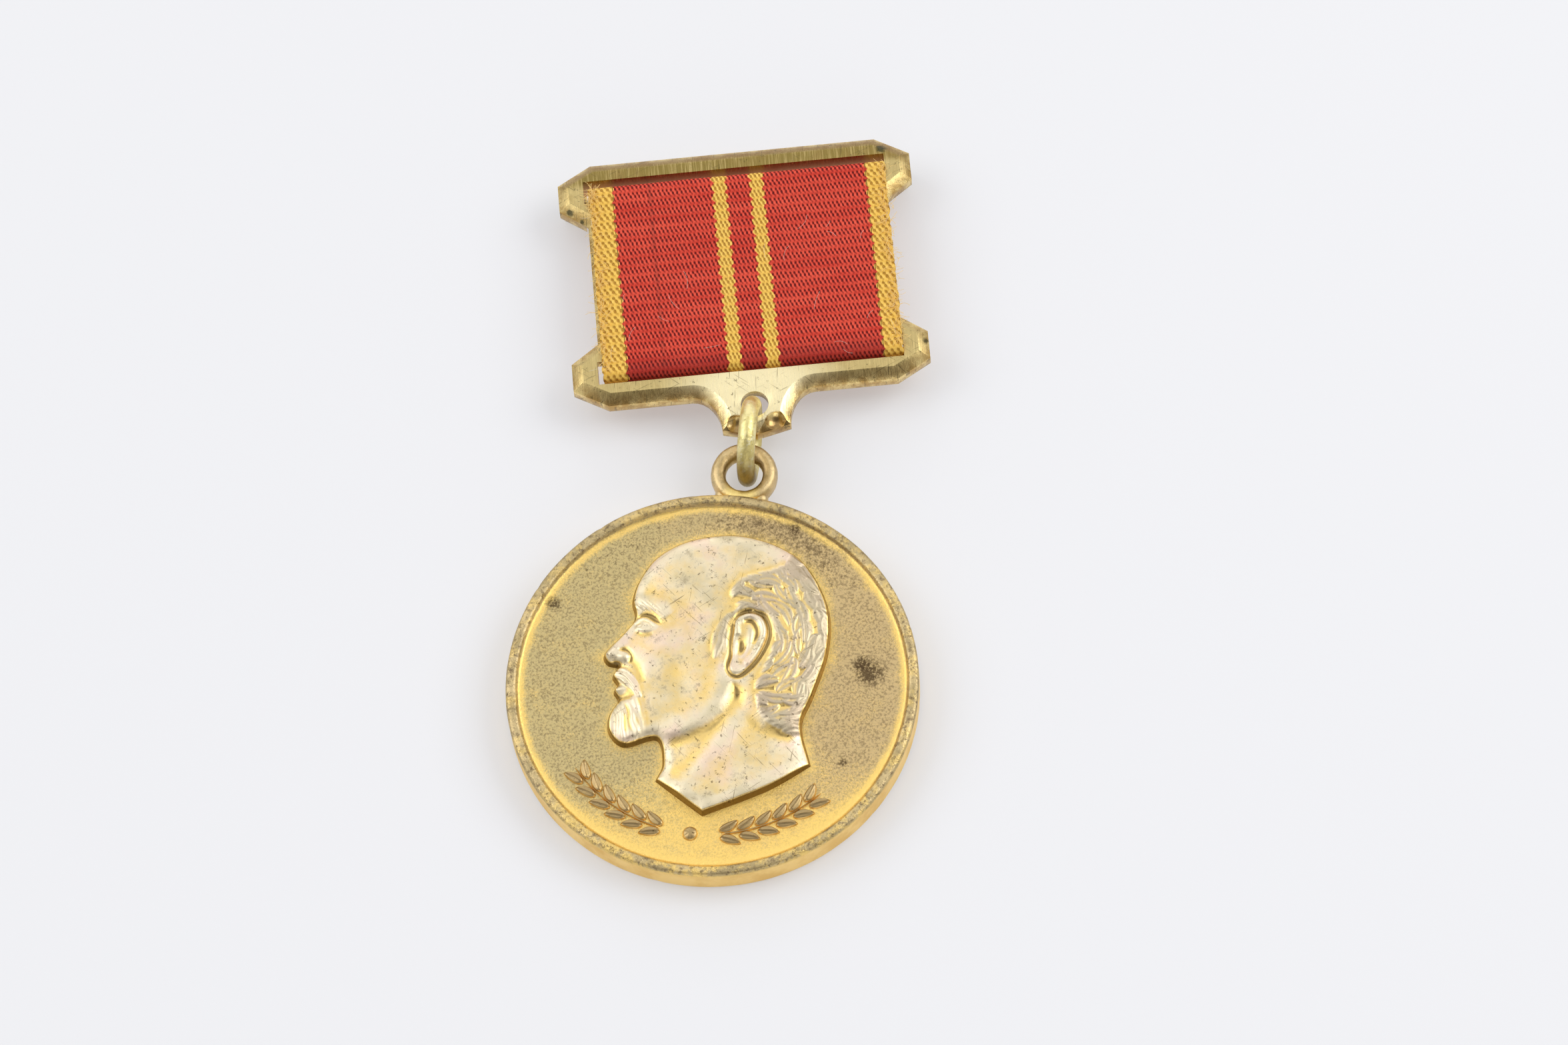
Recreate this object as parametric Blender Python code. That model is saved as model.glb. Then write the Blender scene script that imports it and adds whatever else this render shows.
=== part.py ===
"""A struck medal hanging by a jump ring from a ribbon mount with a pin at its back.

Metres, +Z up. The origin is the middle of the disc's reverse field. The medal lies on a table:
the disc leans a little, its low rim on the table and its eyelet on the ring; the mount lies level
on the bracket and the clip of its pin. +X runs along the mount's bars, +Y from the disc to the mount.
"""

import math

import bmesh
import bpy
import numpy as np
from mathutils import Matrix, Vector

# The disc
DISC_D = 0.032
DISC_T = 0.00265
RIM_W = 0.00085
RIM_SLOPE = 0.00025
FRONT_FIELD_DEPTH = 0.0004
REVERSE_FIELD_DEPTH = 0.0002
EDGE_ROUND = 0.00022
DISC_SEGMENTS = 72

# How the medal lies
MEDAL_HEADING = math.radians(-12.4)
MEDAL_LEAN = math.radians(1.7)

# The struck head, in heights of a head from chin to crown
HEAD_H = 0.017
HEAD_X = 0.0004
CHIN_Y = -0.0045
RELIEF_H = 0.00105
RELIEF_EDGE_H = 0.00032
RELIEF_SINK = 0.00025
RELIEF_STEP = 0.00036
OUTLINE_STEPS = 6
EAR_MIDDLE = (0.10, 0.50)
LOCK_WAVES = 52.0
BEARD_WAVES = 95.0

# The two sprigs of leaves below the head
SPRIG_R = 0.0125
SPRIG_FIRST = math.radians(14.0)
SPRIG_STEP = math.radians(6.6)
SPRIG_LEAVES = 6
LEAF_L = 0.0018
LEAF_W = 0.00085
LEAF_H = 0.00028
LEAF_SPLAY = math.radians(24.0)
KNOT_D = 0.0012

# The eyelet soldered to the rim
EYELET_D = 0.00526
EYELET_PLAY = 0.0015
EYELET_T = 0.0017
EYELET_ROUND = 0.00055
EYELET_OUT = 0.00225
FOOT_W = 0.0036
FOOT_T = 0.0015

# The jump ring
RING_D = 0.0072
RING_WIRE_D = 0.0014
RING_HEADING = math.radians(-10.3)
RING_SLACK = 0.00016
RING_ASIDE = 0.00025

# The mount's plate, measured from its own middle
PLATE_LIFT = 0.0024
PLATE_DEPTH = 0.0015
SHEET_T = 0.0008
BEVEL_W = 0.00086
BEVEL_H = 0.00058
EAR_W = 0.00205
PANEL_MARGIN = 0.0001
PLATE_H = 0.02175
EAR_CHAMFER_X = 0.0027
EAR_CHAMFER_Y = 0.00158
EAR_FLAT = 0.00238
EAR_INNER_Y = 0.0016
SLOT_EDGE = 0.0017
SLOT_H = 0.002
SLOT_PLAY = 0.00005
NECK_HALF = 0.0027
NECK_FLARE = 0.0022
NECK_DROP = 0.0031
NECK_TIP = 0.00375
NECK_ARC_STEPS = 8
HOLE_PLAY = 0.0008
HOLE_DROP = 0.0013
HOLE_ASIDE = 0.00014
HOLE_AHEAD = 0.00026
NECK_POCKET_D = 0.0034
SCOOP_X = 0.0016
SCOOP_D = 0.0022
SCOOP_DEPTH = 0.0004

# The ribbon
RIBBON_W = 0.0237
RIBBON_T = 0.0005
RIBBON_SHIFT_X = 0.00020
RIBBON_SHIFT_Y = -0.000175
RIBBON_IN_SLOT = 0.00035
RIBBON_TURN_STEPS = 6
LAP_L = 0.005
LAP_Y = -0.002

# The pin at the back
NEEDLE_D = 0.0008
NEEDLE_EYE_D = 0.0017
NEEDLE_POINT_L = 0.0022
NEEDLE_PAST_CLIP = 0.0002
RIVET_D = 0.0007
RIVET_HEAD_D = 0.00125
RIVET_HEAD_T = 0.0003
RIVET_HEIGHT = 0.00095
PIN_INSET = 0.0002
PIN_RAISE = 0.0006
CLIP_L = 0.0019
CLIP_SHEET = 0.00035
CLIP_FOOT = 0.00002
PINCH = 0.00003

# Clearances
SEAT_GAP = 0.00005
RUN_GAP = 0.00005
CUT_PAST = 0.001

DISC_R = DISC_D / 2
FIELD_Z = DISC_T - REVERSE_FIELD_DEPTH - FRONT_FIELD_DEPTH
TABLE_Z = -DISC_R * math.sin(MEDAL_LEAN) - REVERSE_FIELD_DEPTH * math.cos(MEDAL_LEAN)
EYELET_HOLE_D = RING_WIRE_D + EYELET_PLAY
EYELET_Y = DISC_R + EYELET_OUT
EYELET_Z = DISC_T / 2 - REVERSE_FIELD_DEPTH
RING_R = (RING_D - RING_WIRE_D) / 2
RING_Z = TABLE_Z + RING_D / 2
PLATE_BACK_Z = TABLE_Z + PLATE_LIFT
PLATE_FRONT_Z = PLATE_BACK_Z + PLATE_DEPTH
SHEET_BACK_Z = PLATE_FRONT_Z - SHEET_T
SLOT_OUTER_Y = PLATE_H / 2 - SLOT_EDGE
SLOT_HALF = RIBBON_W / 2 + RIBBON_SHIFT_X + SLOT_PLAY
BAR_HALF = SLOT_HALF + EAR_W
PANEL_HALF = RIBBON_W / 2 + PANEL_MARGIN
HOLE_D = RING_WIRE_D + HOLE_PLAY
HOLE_Y = -PLATE_H / 2 - HOLE_DROP
RIBBON_HALF = SLOT_OUTER_Y - RIBBON_IN_SLOT
PIN_X = (SLOT_HALF + BAR_HALF) / 2 - PIN_INSET
PIN_Y = PLATE_H / 2 - EAR_CHAMFER_Y - EAR_FLAT / 2 + PIN_RAISE
RIVET_Z = TABLE_Z + RIVET_HEIGHT
CHEEK_GAP = NEEDLE_D + 2 * RUN_GAP

MEDAL_TURN = Matrix.Rotation(MEDAL_HEADING, 3, "Z") @ Matrix.Rotation(MEDAL_LEAN, 3, "X")
RING_TURN = Matrix.Rotation(RING_HEADING, 3, "Z")


def ring_centre():
    """Where the ring stands: its wire runs through the eyelet, drawn in by the slack."""
    eyelet = MEDAL_TURN @ Vector((0.0, EYELET_Y, EYELET_Z))
    ahead = math.sqrt((RING_R - RING_SLACK) ** 2 - (RING_Z - eyelet.z) ** 2)
    place = eyelet + RING_TURN @ Vector((RING_ASIDE, ahead, 0.0))
    return Vector((place.x, place.y, RING_Z))


def ring_top():
    """The middle of the ring's wire where it runs through the plate's hole."""
    return ring_centre() + RING_TURN @ Vector((0.0, RING_R, 0.0))


def plate_centre():
    """The plate's middle, from the place of the ring in its hole."""
    wire = ring_top()
    return Vector((wire.x + HOLE_ASIDE, wire.y + HOLE_AHEAD - HOLE_Y, 0.0))


def clear_scene():
    for item in list(bpy.data.objects):
        bpy.data.objects.remove(item, do_unlink=True)


def make_material(name, colour, roughness, metallic):
    material = bpy.data.materials.new(name)
    material.use_nodes = True
    shader = material.node_tree.nodes["Principled BSDF"]
    shader.inputs["Base Color"].default_value = (*colour, 1.0)
    shader.inputs["Roughness"].default_value = roughness
    shader.inputs["Metallic"].default_value = metallic
    return material


def finish_object(name, bm, material=None, parent=None, smooth_angle=35.0):
    """Turn a bmesh into an object with outward faces, under a parent empty if there is one."""
    bmesh.ops.recalc_face_normals(bm, faces=bm.faces)
    mesh = bpy.data.meshes.new(name)
    bm.to_mesh(mesh)
    bm.free()
    mesh.shade_smooth()
    mesh.set_sharp_from_angle(angle=math.radians(smooth_angle))
    item = bpy.data.objects.new(name, mesh)
    bpy.context.collection.objects.link(item)
    if material:
        mesh.materials.append(material)
    if parent:
        item.parent = parent
    return item


def make_empty(name, location, rotation=(0.0, 0.0, 0.0)):
    empty = bpy.data.objects.new(name, None)
    bpy.context.collection.objects.link(empty)
    empty.location = location
    empty.rotation_euler = rotation
    return empty


def combine(item, other, operation):
    """Add a Boolean modifier and hide the other shape."""
    other.hide_render = True
    other.display_type = "WIRE"
    modifier = item.modifiers.new(other.name, "BOOLEAN")
    modifier.operation = operation
    modifier.solver = "EXACT"
    modifier.object = other


def polygon_prism(points, low, high):
    """A prism on a flat outline, from one height to another."""
    bm = bmesh.new()
    face = bm.faces.new([bm.verts.new((x, y, low)) for x, y in points])
    wall = bmesh.ops.extrude_face_region(bm, geom=[face])
    top = [part for part in wall["geom"] if isinstance(part, bmesh.types.BMVert)]
    bmesh.ops.translate(bm, verts=top, vec=(0.0, 0.0, high - low))
    return bm


def box(x_low, x_high, y_low, y_high, z_low, z_high):
    corners = [(x_low, y_low), (x_high, y_low), (x_high, y_high), (x_low, y_high)]
    return polygon_prism(corners, z_low, z_high)


def turned(profile, steps, axis=(0.0, 0.0, 1.0)):
    """Spin a profile in the XZ plane about an axis through the origin; an open profile meets the axis."""
    bm = bmesh.new()
    verts = [bm.verts.new((x, 0.0, z)) for x, z in profile]
    edges = [bm.edges.new(pair) for pair in zip(verts, verts[1:])]
    if profile[0][0] > 0.0:
        edges.append(bm.edges.new((verts[-1], verts[0])))
    bmesh.ops.spin(bm, geom=verts + edges, cent=(0, 0, 0), axis=axis, angle=2 * math.pi,
                   steps=steps, use_merge=True)
    bmesh.ops.remove_doubles(bm, verts=bm.verts, dist=1e-7)
    return bm


def round_bar(radius, length, steps=20):
    """A round bar along Z, centred on the origin."""
    bm = bmesh.new()
    bmesh.ops.create_cone(bm, cap_ends=True, segments=steps, radius1=radius, radius2=radius, depth=length)
    return bm


def rounded_section(half_w, half_h, radius, steps=4):
    """A rectangle with round corners, as a closed list of points about the origin."""
    points = []
    for quarter in range(4):
        centre_x = (half_w - radius) * (1, -1, -1, 1)[quarter]
        centre_y = (half_h - radius) * (1, 1, -1, -1)[quarter]
        for step in range(steps + 1):
            angle = (quarter + step / steps) * math.pi / 2
            points.append((centre_x + radius * math.cos(angle), centre_y + radius * math.sin(angle)))
    return points


# The struck head. Its face is a general one, drawn on the usual canon: the eyes halfway from chin
# to crown, the brow, the base of the nose and the chin a third of the face apart.

PROFILE = [
    (0.04, 1.0), (-0.19, 0.962), (-0.345, 0.862), (-0.418, 0.735), (-0.436, 0.625), (-0.413, 0.545),
    (-0.455, 0.455), (-0.514, 0.370), (-0.528, 0.336), (-0.505, 0.305), (-0.455, 0.293), (-0.474, 0.245),
    (-0.446, 0.205), (-0.458, 0.170), (-0.432, 0.125), (-0.462, 0.055), (-0.452, -0.03),
    (-0.375, -0.085), (-0.235, -0.035), (-0.19, -0.15), (-0.21, -0.235), (0.02, -0.375),
    (0.29, -0.225), (0.47, -0.085), (0.405, 0.10), (0.438, 0.25), (0.478, 0.48), (0.445, 0.70),
    (0.29, 0.915),
]
NECK_CUT = (20, 21, 23)
HAIRLINE = [
    (0.30, 1.05), (0.22, 0.875), (0.06, 0.80), (-0.005, 0.70), (0.03, 0.62), (-0.035, 0.555), (-0.052, 0.46),
    (-0.035, 0.36), (0.012, 0.37), (0.045, 0.47), (0.075, 0.57), (0.16, 0.60), (0.215, 0.52), (0.20, 0.37),
    (0.165, 0.25), (0.20, 0.12), (0.30, 0.045), (0.44, 0.04), (0.70, 0.24), (0.70, 0.90),
]
BEARD = [
    (-0.56, 0.135), (-0.47, 0.142), (-0.405, 0.135), (-0.365, 0.165), (-0.325, 0.155), (-0.30, 0.085),
    (-0.28, 0.0), (-0.30, -0.06), (-0.36, -0.16), (-0.56, -0.16),
]
MOUSTACHE = [
    (-0.56, 0.27), (-0.455, 0.290), (-0.40, 0.272), (-0.350, 0.218), (-0.322, 0.150), (-0.350, 0.135),
    (-0.395, 0.178), (-0.455, 0.200), (-0.56, 0.205),
]
EAR = [
    (0.055, 0.565), (0.105, 0.60), (0.165, 0.585), (0.195, 0.515), (0.175, 0.42), (0.135, 0.345),
    (0.09, 0.30), (0.055, 0.325), (0.06, 0.40), (0.05, 0.48),
]
UNDER_JAW = [
    (0.06, 0.27), (0.015, 0.135), (-0.10, 0.03), (-0.24, -0.03), (-0.40, -0.09), (-0.40, -0.5),
    (0.6, -0.5), (0.6, 0.05), (0.25, 0.10), (0.15, 0.25),
]

# Soft swellings and hollows: height, middle, half widths, turn
SWELLS = [
    (0.07, (-0.27, 0.76), (0.17, 0.13), 0.3),
    (0.05, (-0.09, 0.80), (0.16, 0.13), 0.0),
    (-0.05, (-0.19, 0.59), (0.06, 0.08), 0.2),
    (-0.17, (-0.362, 0.522), (0.075, 0.036), -0.12),
    (-0.11, (-0.412, 0.512), (0.022, 0.05), 0.0),
    (0.20, (-0.368, 0.503), (0.040, 0.032), 0.0),
    (0.15, (-0.500, 0.338), (0.030, 0.028), 0.2),
    (0.20, (-0.443, 0.332), (0.032, 0.028), 0.3),
    (0.12, (-0.255, 0.425), (0.10, 0.06), 0.35),
    (-0.11, (-0.20, 0.245), (0.085, 0.10), 0.3),
    (0.07, (-0.31, 0.31), (0.05, 0.07), 0.4),
    (0.11, (-0.440, 0.178), (0.032, 0.016), 0.1),
    (-0.10, (-0.425, 0.140), (0.04, 0.018), 0.1),
    (-0.18, (0.088, 0.435), (0.028, 0.045), 0.1),
    (0.05, (0.085, 0.325), (0.025, 0.022), 0.0),
]

# Ridges and creases: height, half width, line
RIDGES = [
    (0.13, 0.032, [(-0.435, 0.595), (-0.385, 0.612), (-0.31, 0.597), (-0.255, 0.555)]),
    (0.15, 0.030, [(-0.425, 0.56), (-0.437, 0.50), (-0.476, 0.42), (-0.505, 0.36)]),
    (-0.09, 0.016, [(-0.470, 0.366), (-0.432, 0.368), (-0.404, 0.343), (-0.408, 0.302)]),
    (-0.05, 0.020, [(-0.405, 0.335), (-0.365, 0.285), (-0.330, 0.215)]),
    (0.09, 0.050, [(0.03, 0.30), (0.0, 0.15), (-0.10, 0.055), (-0.24, 0.0), (-0.33, -0.05)]),
    (0.09, 0.018, [(0.065, 0.50), (0.060, 0.555), (0.105, 0.587), (0.160, 0.572), (0.182, 0.51), (0.13, 0.36)]),
]
NECK_MUSCLE = [(0.19, 0.22), (0.10, 0.03), (-0.01, -0.15), (-0.10, -0.30)]


def smooth_curve(points, steps, corners=(), closed=True):
    """A curve through points, with sharp points where they are named."""
    count = len(points)
    curve = []
    for index in range(count if closed else count - 1):
        around = (index - 1, index, index + 1, index + 2)
        p0, p1, p2, p3 = (np.array(points[k % count if closed else min(max(k, 0), count - 1)]) for k in around)
        out = (p2 - p1) if index in corners else (p2 - p0) / 2
        into = (p2 - p1) if (index + 1) % count in corners else (p3 - p1) / 2
        for step in range(steps):
            t = step / steps
            curve.append((2 * t**3 - 3 * t**2 + 1) * p1 + (t**3 - 2 * t**2 + t) * out
                         + (3 * t**2 - 2 * t**3) * p2 + (t**3 - t**2) * into)
    return np.array(curve if closed else curve + [np.array(points[-1])])


def head_outline():
    return smooth_curve(PROFILE, OUTLINE_STEPS, NECK_CUT)


def line_distance(x, y, line):
    """How far each point lies from an open line."""
    nearest = np.full(x.shape, np.inf)
    for (ax, ay), (bx, by) in zip(line, line[1:]):
        dx, dy = bx - ax, by - ay
        t = np.clip(((x - ax) * dx + (y - ay) * dy) / (dx * dx + dy * dy), 0.0, 1.0)
        nearest = np.minimum(nearest, np.hypot(x - ax - t * dx, y - ay - t * dy))
    return nearest


def signed_distance(x, y, loop):
    """How far each point lies inside a closed loop; negative outside."""
    inside = np.zeros(x.shape, bool)
    for (ax, ay), (bx, by) in zip(loop, np.roll(loop, -1, axis=0)):
        crosses = (ay > y) != (by > y)
        inside ^= crosses & (x < ax + (y - ay) * (bx - ax) / np.where(by == ay, 1e-12, by - ay))
    nearest = line_distance(x, y, np.concatenate([loop, loop[:1]]))
    return np.where(inside, nearest, -nearest)


def soft_distance(x, y, line):
    """A distance from a line that runs smoothly over the middle of what the line surrounds."""
    total = np.zeros(x.shape)
    for first, second in zip(line, line[1:]):
        middle = (first + second) / 2
        near = np.maximum((x - middle[0]) ** 2 + (y - middle[1]) ** 2, 1e-4)
        total = total + np.linalg.norm(second - first) / near**1.5
    return np.sqrt(2.0 / total)


def swell(x, y, centre, radii, turn):
    """A soft round swelling of height 1."""
    c, s = math.cos(turn), math.sin(turn)
    u = ((x - centre[0]) * c + (y - centre[1]) * s) / radii[0]
    v = ((y - centre[1]) * c - (x - centre[0]) * s) / radii[1]
    return np.exp(-(u * u + v * v))


def ridge(x, y, width, points):
    """A soft ridge of height 1 along a curve."""
    return np.exp(-((line_distance(x, y, smooth_curve(points, 6, closed=False)) / width) ** 2))


def rise(distance, width):
    """A smooth step from 0 to 1 as a distance goes from 0 to a width."""
    t = np.clip(distance / width, 0.0, 1.0)
    return t * t * (3 - 2 * t)


def quarter_round(t):
    """A rise from 0 to 1 along a quarter of a circle."""
    return np.sqrt(np.clip(1.0 - (1.0 - np.clip(t, 0.0, 1.0)) ** 2, 0.0, 1.0))


def within(x, y, points, width):
    """1 inside a closed curve through points, falling to 0 at it over a width."""
    return rise(signed_distance(x, y, smooth_curve(points, 6)), width)


def head_height(x, y):
    """The height of the struck head over the field, with x and y in heads."""
    outline = head_outline()
    free_edge = np.concatenate([outline[OUTLINE_STEPS * NECK_CUT[-1]:], outline[:OUTLINE_STEPS * NECK_CUT[0] + 1]])
    h = 0.20 * quarter_round(signed_distance(x, y, outline) / 0.05)
    h = h + 0.58 * quarter_round(soft_distance(x, y, free_edge) / 0.36)
    for amount, middle, radii, turn in SWELLS:
        h = h + amount * swell(x, y, middle, radii, turn)
    for amount, width, points in RIDGES:
        h = h + amount * ridge(x, y, width, points)
    neck = within(x, y, UNDER_JAW, 0.07)
    h = h + neck * (0.15 * ridge(x, y, 0.055, NECK_MUSCLE) - 0.24)
    from_ear = np.hypot((x - EAR_MIDDLE[0]) * 0.85, y - EAR_MIDDLE[1])
    hair = within(x, y, HAIRLINE, 0.04)
    h = h + hair * (0.11 + 0.05 * np.sin(LOCK_WAVES * from_ear))
    h = h + within(x, y, BEARD, 0.035) * (0.11 + 0.035 * np.sin(BEARD_WAVES * (x + 0.35 * y)))
    h = h + 0.13 * within(x, y, MOUSTACHE, 0.025)
    ear = signed_distance(x, y, smooth_curve(EAR, 6))
    h = h + 0.10 * rise(ear + 0.01, 0.02) - 0.10 * rise(-ear, 0.015) * rise(ear + 0.04, 0.02)
    return RELIEF_EDGE_H + RELIEF_H * h


def make_head():
    """A solid of the head: a moulded top over the field, cut to the head's outline."""
    bm = bmesh.new()
    half_x = 0.60 * HEAD_H
    half_y = 0.74 * HEAD_H
    centre_y = 0.32 * HEAD_H
    columns = round(2 * half_x / RELIEF_STEP)
    rows = round(2 * half_y / RELIEF_STEP)
    bmesh.ops.create_grid(bm, x_segments=columns, y_segments=rows, size=1.0)
    verts = list(bm.verts)
    x = np.array([v.co.x for v in verts]) * half_x
    y = np.array([v.co.y for v in verts]) * half_y + centre_y
    heights = head_height(x / HEAD_H, y / HEAD_H)
    for vert, px, py, pz in zip(verts, x, y, heights):
        vert.co = (px + HEAD_X, py + CHIN_Y, FIELD_Z + pz)
    top = list(bm.faces)
    below = bmesh.ops.extrude_face_region(bm, geom=top)
    for part in below["geom"]:
        if isinstance(part, bmesh.types.BMVert):
            part.co.z = FIELD_Z - 2 * RELIEF_SINK
    slab = finish_object("head_slab", bm)
    loop = head_outline() * HEAD_H + (HEAD_X, CHIN_Y)
    prism = polygon_prism(loop, FIELD_Z - RELIEF_SINK, FIELD_Z + 3 * RELIEF_H)
    head = finish_object("head_prism", prism)
    combine(head, slab, "INTERSECT")
    return head


def leaf(bm, matrix):
    """A pointed leaf with a raised midrib, sunk a little into the field."""
    bmesh.ops.create_circle(bm, cap_ends=True, segments=8, radius=1.0)
    fresh = [v for v in bm.verts if not v.tag]
    for vert in fresh:
        taper = 1.0 - abs(vert.co.x) ** 2
        vert.co = (vert.co.x * LEAF_L / 2, math.copysign(taper, vert.co.y) * LEAF_W / 2 * abs(vert.co.y) ** 0.5,
                   FIELD_Z - RELIEF_SINK)
    face = next(f for f in bm.faces if not f.tag)
    top = bmesh.ops.extrude_face_region(bm, geom=[face])
    lid = [part for part in top["geom"] if isinstance(part, bmesh.types.BMVert)]
    bmesh.ops.translate(bm, verts=lid, vec=(0.0, 0.0, RELIEF_SINK + LEAF_H / 2))
    lid_face = next(part for part in top["geom"] if isinstance(part, bmesh.types.BMFace))
    ridge = bmesh.ops.poke(bm, faces=[lid_face], offset=LEAF_H / 2)
    bmesh.ops.transform(bm, matrix=matrix, verts=fresh + lid + ridge["verts"])
    for part in list(bm.verts) + list(bm.faces):
        part.tag = True


def make_sprigs():
    """Leaves in two sprigs along the low edge of the field, and a round knot between them."""
    bm = bmesh.new()
    for side in (-1, 1):
        for index in range(SPRIG_LEAVES):
            for splay in (-1, 1):
                angle = -math.pi / 2 + side * (SPRIG_FIRST + index * SPRIG_STEP)
                radius = SPRIG_R + splay * LEAF_W * 0.62
                place = Matrix.Translation((radius * math.cos(angle), radius * math.sin(angle), 0.0))
                lean = angle + side * math.pi / 2 - side * splay * LEAF_SPLAY
                leaf(bm, place @ Matrix.Rotation(lean, 4, "Z"))
    sprigs = finish_object("sprigs", bm)
    radius = KNOT_D / 2
    knot = turned([(0.0, FIELD_Z + LEAF_H), (radius * 0.6, FIELD_Z + LEAF_H * 0.8), (radius, FIELD_Z + LEAF_H * 0.2),
                   (radius, FIELD_Z - RELIEF_SINK), (0.0, FIELD_Z - RELIEF_SINK)], 12)
    bmesh.ops.translate(knot, verts=knot.verts, vec=(0.0, -SPRIG_R, 0.0))
    return sprigs, finish_object("sprig_knot", knot)


def make_disc(material, medal):
    """The struck disc: rims on both sides, rounded edges, the head and the sprigs."""
    foot = -REVERSE_FIELD_DEPTH
    top = DISC_T - REVERSE_FIELD_DEPTH
    profile = [(0.0, FIELD_Z), (DISC_R - RIM_W - RIM_SLOPE, FIELD_Z), (DISC_R - RIM_W, top - RIM_SLOPE / 3)]
    profile.append((DISC_R - RIM_W + RIM_SLOPE, top))
    for step in range(4):
        angle = math.pi / 2 * (1 - step / 3)
        profile.append((DISC_R - EDGE_ROUND + EDGE_ROUND * math.cos(angle),
                        top - EDGE_ROUND + EDGE_ROUND * math.sin(angle)))
    for step in range(4):
        angle = -math.pi / 2 * step / 3
        profile.append((DISC_R - EDGE_ROUND + EDGE_ROUND * math.cos(angle),
                        foot + EDGE_ROUND + EDGE_ROUND * math.sin(angle)))
    profile += [(DISC_R - RIM_W, foot), (DISC_R - RIM_W - RIM_SLOPE, 0.0), (0.0, 0.0)]
    disc = finish_object("medal_disc", turned(profile, DISC_SEGMENTS), material, medal)
    for raised in (make_head(), *make_sprigs()):
        raised.parent = medal
        combine(disc, raised, "UNION")


def make_eyelet(material, medal):
    """A round-sectioned eyelet on a foot that is cut to the disc's edge."""
    wall = (EYELET_D - EYELET_HOLE_D) / 4
    middle = (EYELET_D + EYELET_HOLE_D) / 4
    section = rounded_section(wall, EYELET_T / 2, min(EYELET_ROUND, wall * 0.95), 3)
    bm = turned([(middle + sx, sz) for sx, sz in section], 32)
    bmesh.ops.translate(bm, verts=bm.verts, vec=(0.0, EYELET_Y, EYELET_Z))
    eyelet = finish_object("eyelet", bm, material, medal)
    foot = box(-FOOT_W / 2, FOOT_W / 2, DISC_R - CUT_PAST, EYELET_Y - middle,
               EYELET_Z - FOOT_T / 2, EYELET_Z + FOOT_T / 2)
    foot_block = finish_object("eyelet_foot", foot)
    foot_block.parent = medal
    combine(eyelet, foot_block, "UNION")
    edge = finish_object("eyelet_edge_cut", round_bar(DISC_R + SEAT_GAP, DISC_T + 2 * CUT_PAST, DISC_SEGMENTS))
    edge.parent = medal
    combine(eyelet, edge, "DIFFERENCE")


def make_ring(material):
    """The jump ring, standing on its edge through the plate's hole and the eyelet."""
    wire = [(RING_R + RING_WIRE_D / 2 * math.cos(a), RING_WIRE_D / 2 * math.sin(a))
            for a in (2 * math.pi * k / 12 for k in range(12))]
    bm = turned(wire, 40)
    bmesh.ops.rotate(bm, verts=bm.verts, cent=(0, 0, 0), matrix=Matrix.Rotation(math.pi / 2, 3, "Y"))
    bmesh.ops.translate(bm, verts=bm.verts, vec=(0.0, -RING_R, 0.0))
    hinge = make_empty("ring_hinge", ring_top(), (0.0, 0.0, RING_HEADING))
    finish_object("jump_ring", bm, material, hinge)


def plate_outline():
    """The plate's outline about its own middle: bars with chamfered ears, a waist and a flared neck."""
    top = PLATE_H / 2
    ear_high = top - EAR_CHAMFER_Y
    ear_low = ear_high - EAR_FLAT
    waist = ear_low - EAR_INNER_Y
    right = [(0.0, -top - NECK_TIP), (NECK_HALF, -top - NECK_DROP)]
    flare_x = NECK_HALF + NECK_FLARE
    for step in range(1, NECK_ARC_STEPS + 1):
        angle = math.pi / 2 * step / NECK_ARC_STEPS
        right.append((flare_x - NECK_FLARE * math.cos(angle), -top - NECK_DROP * (1 - math.sin(angle))))
    ear = [(BAR_HALF - EAR_CHAMFER_X, top), (BAR_HALF, ear_high), (BAR_HALF, ear_low), (PANEL_HALF, waist)]
    right += [(x, -y) for x, y in ear] + ear[::-1]
    return right + [(-x, y) for x, y in right[:0:-1]]


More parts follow.
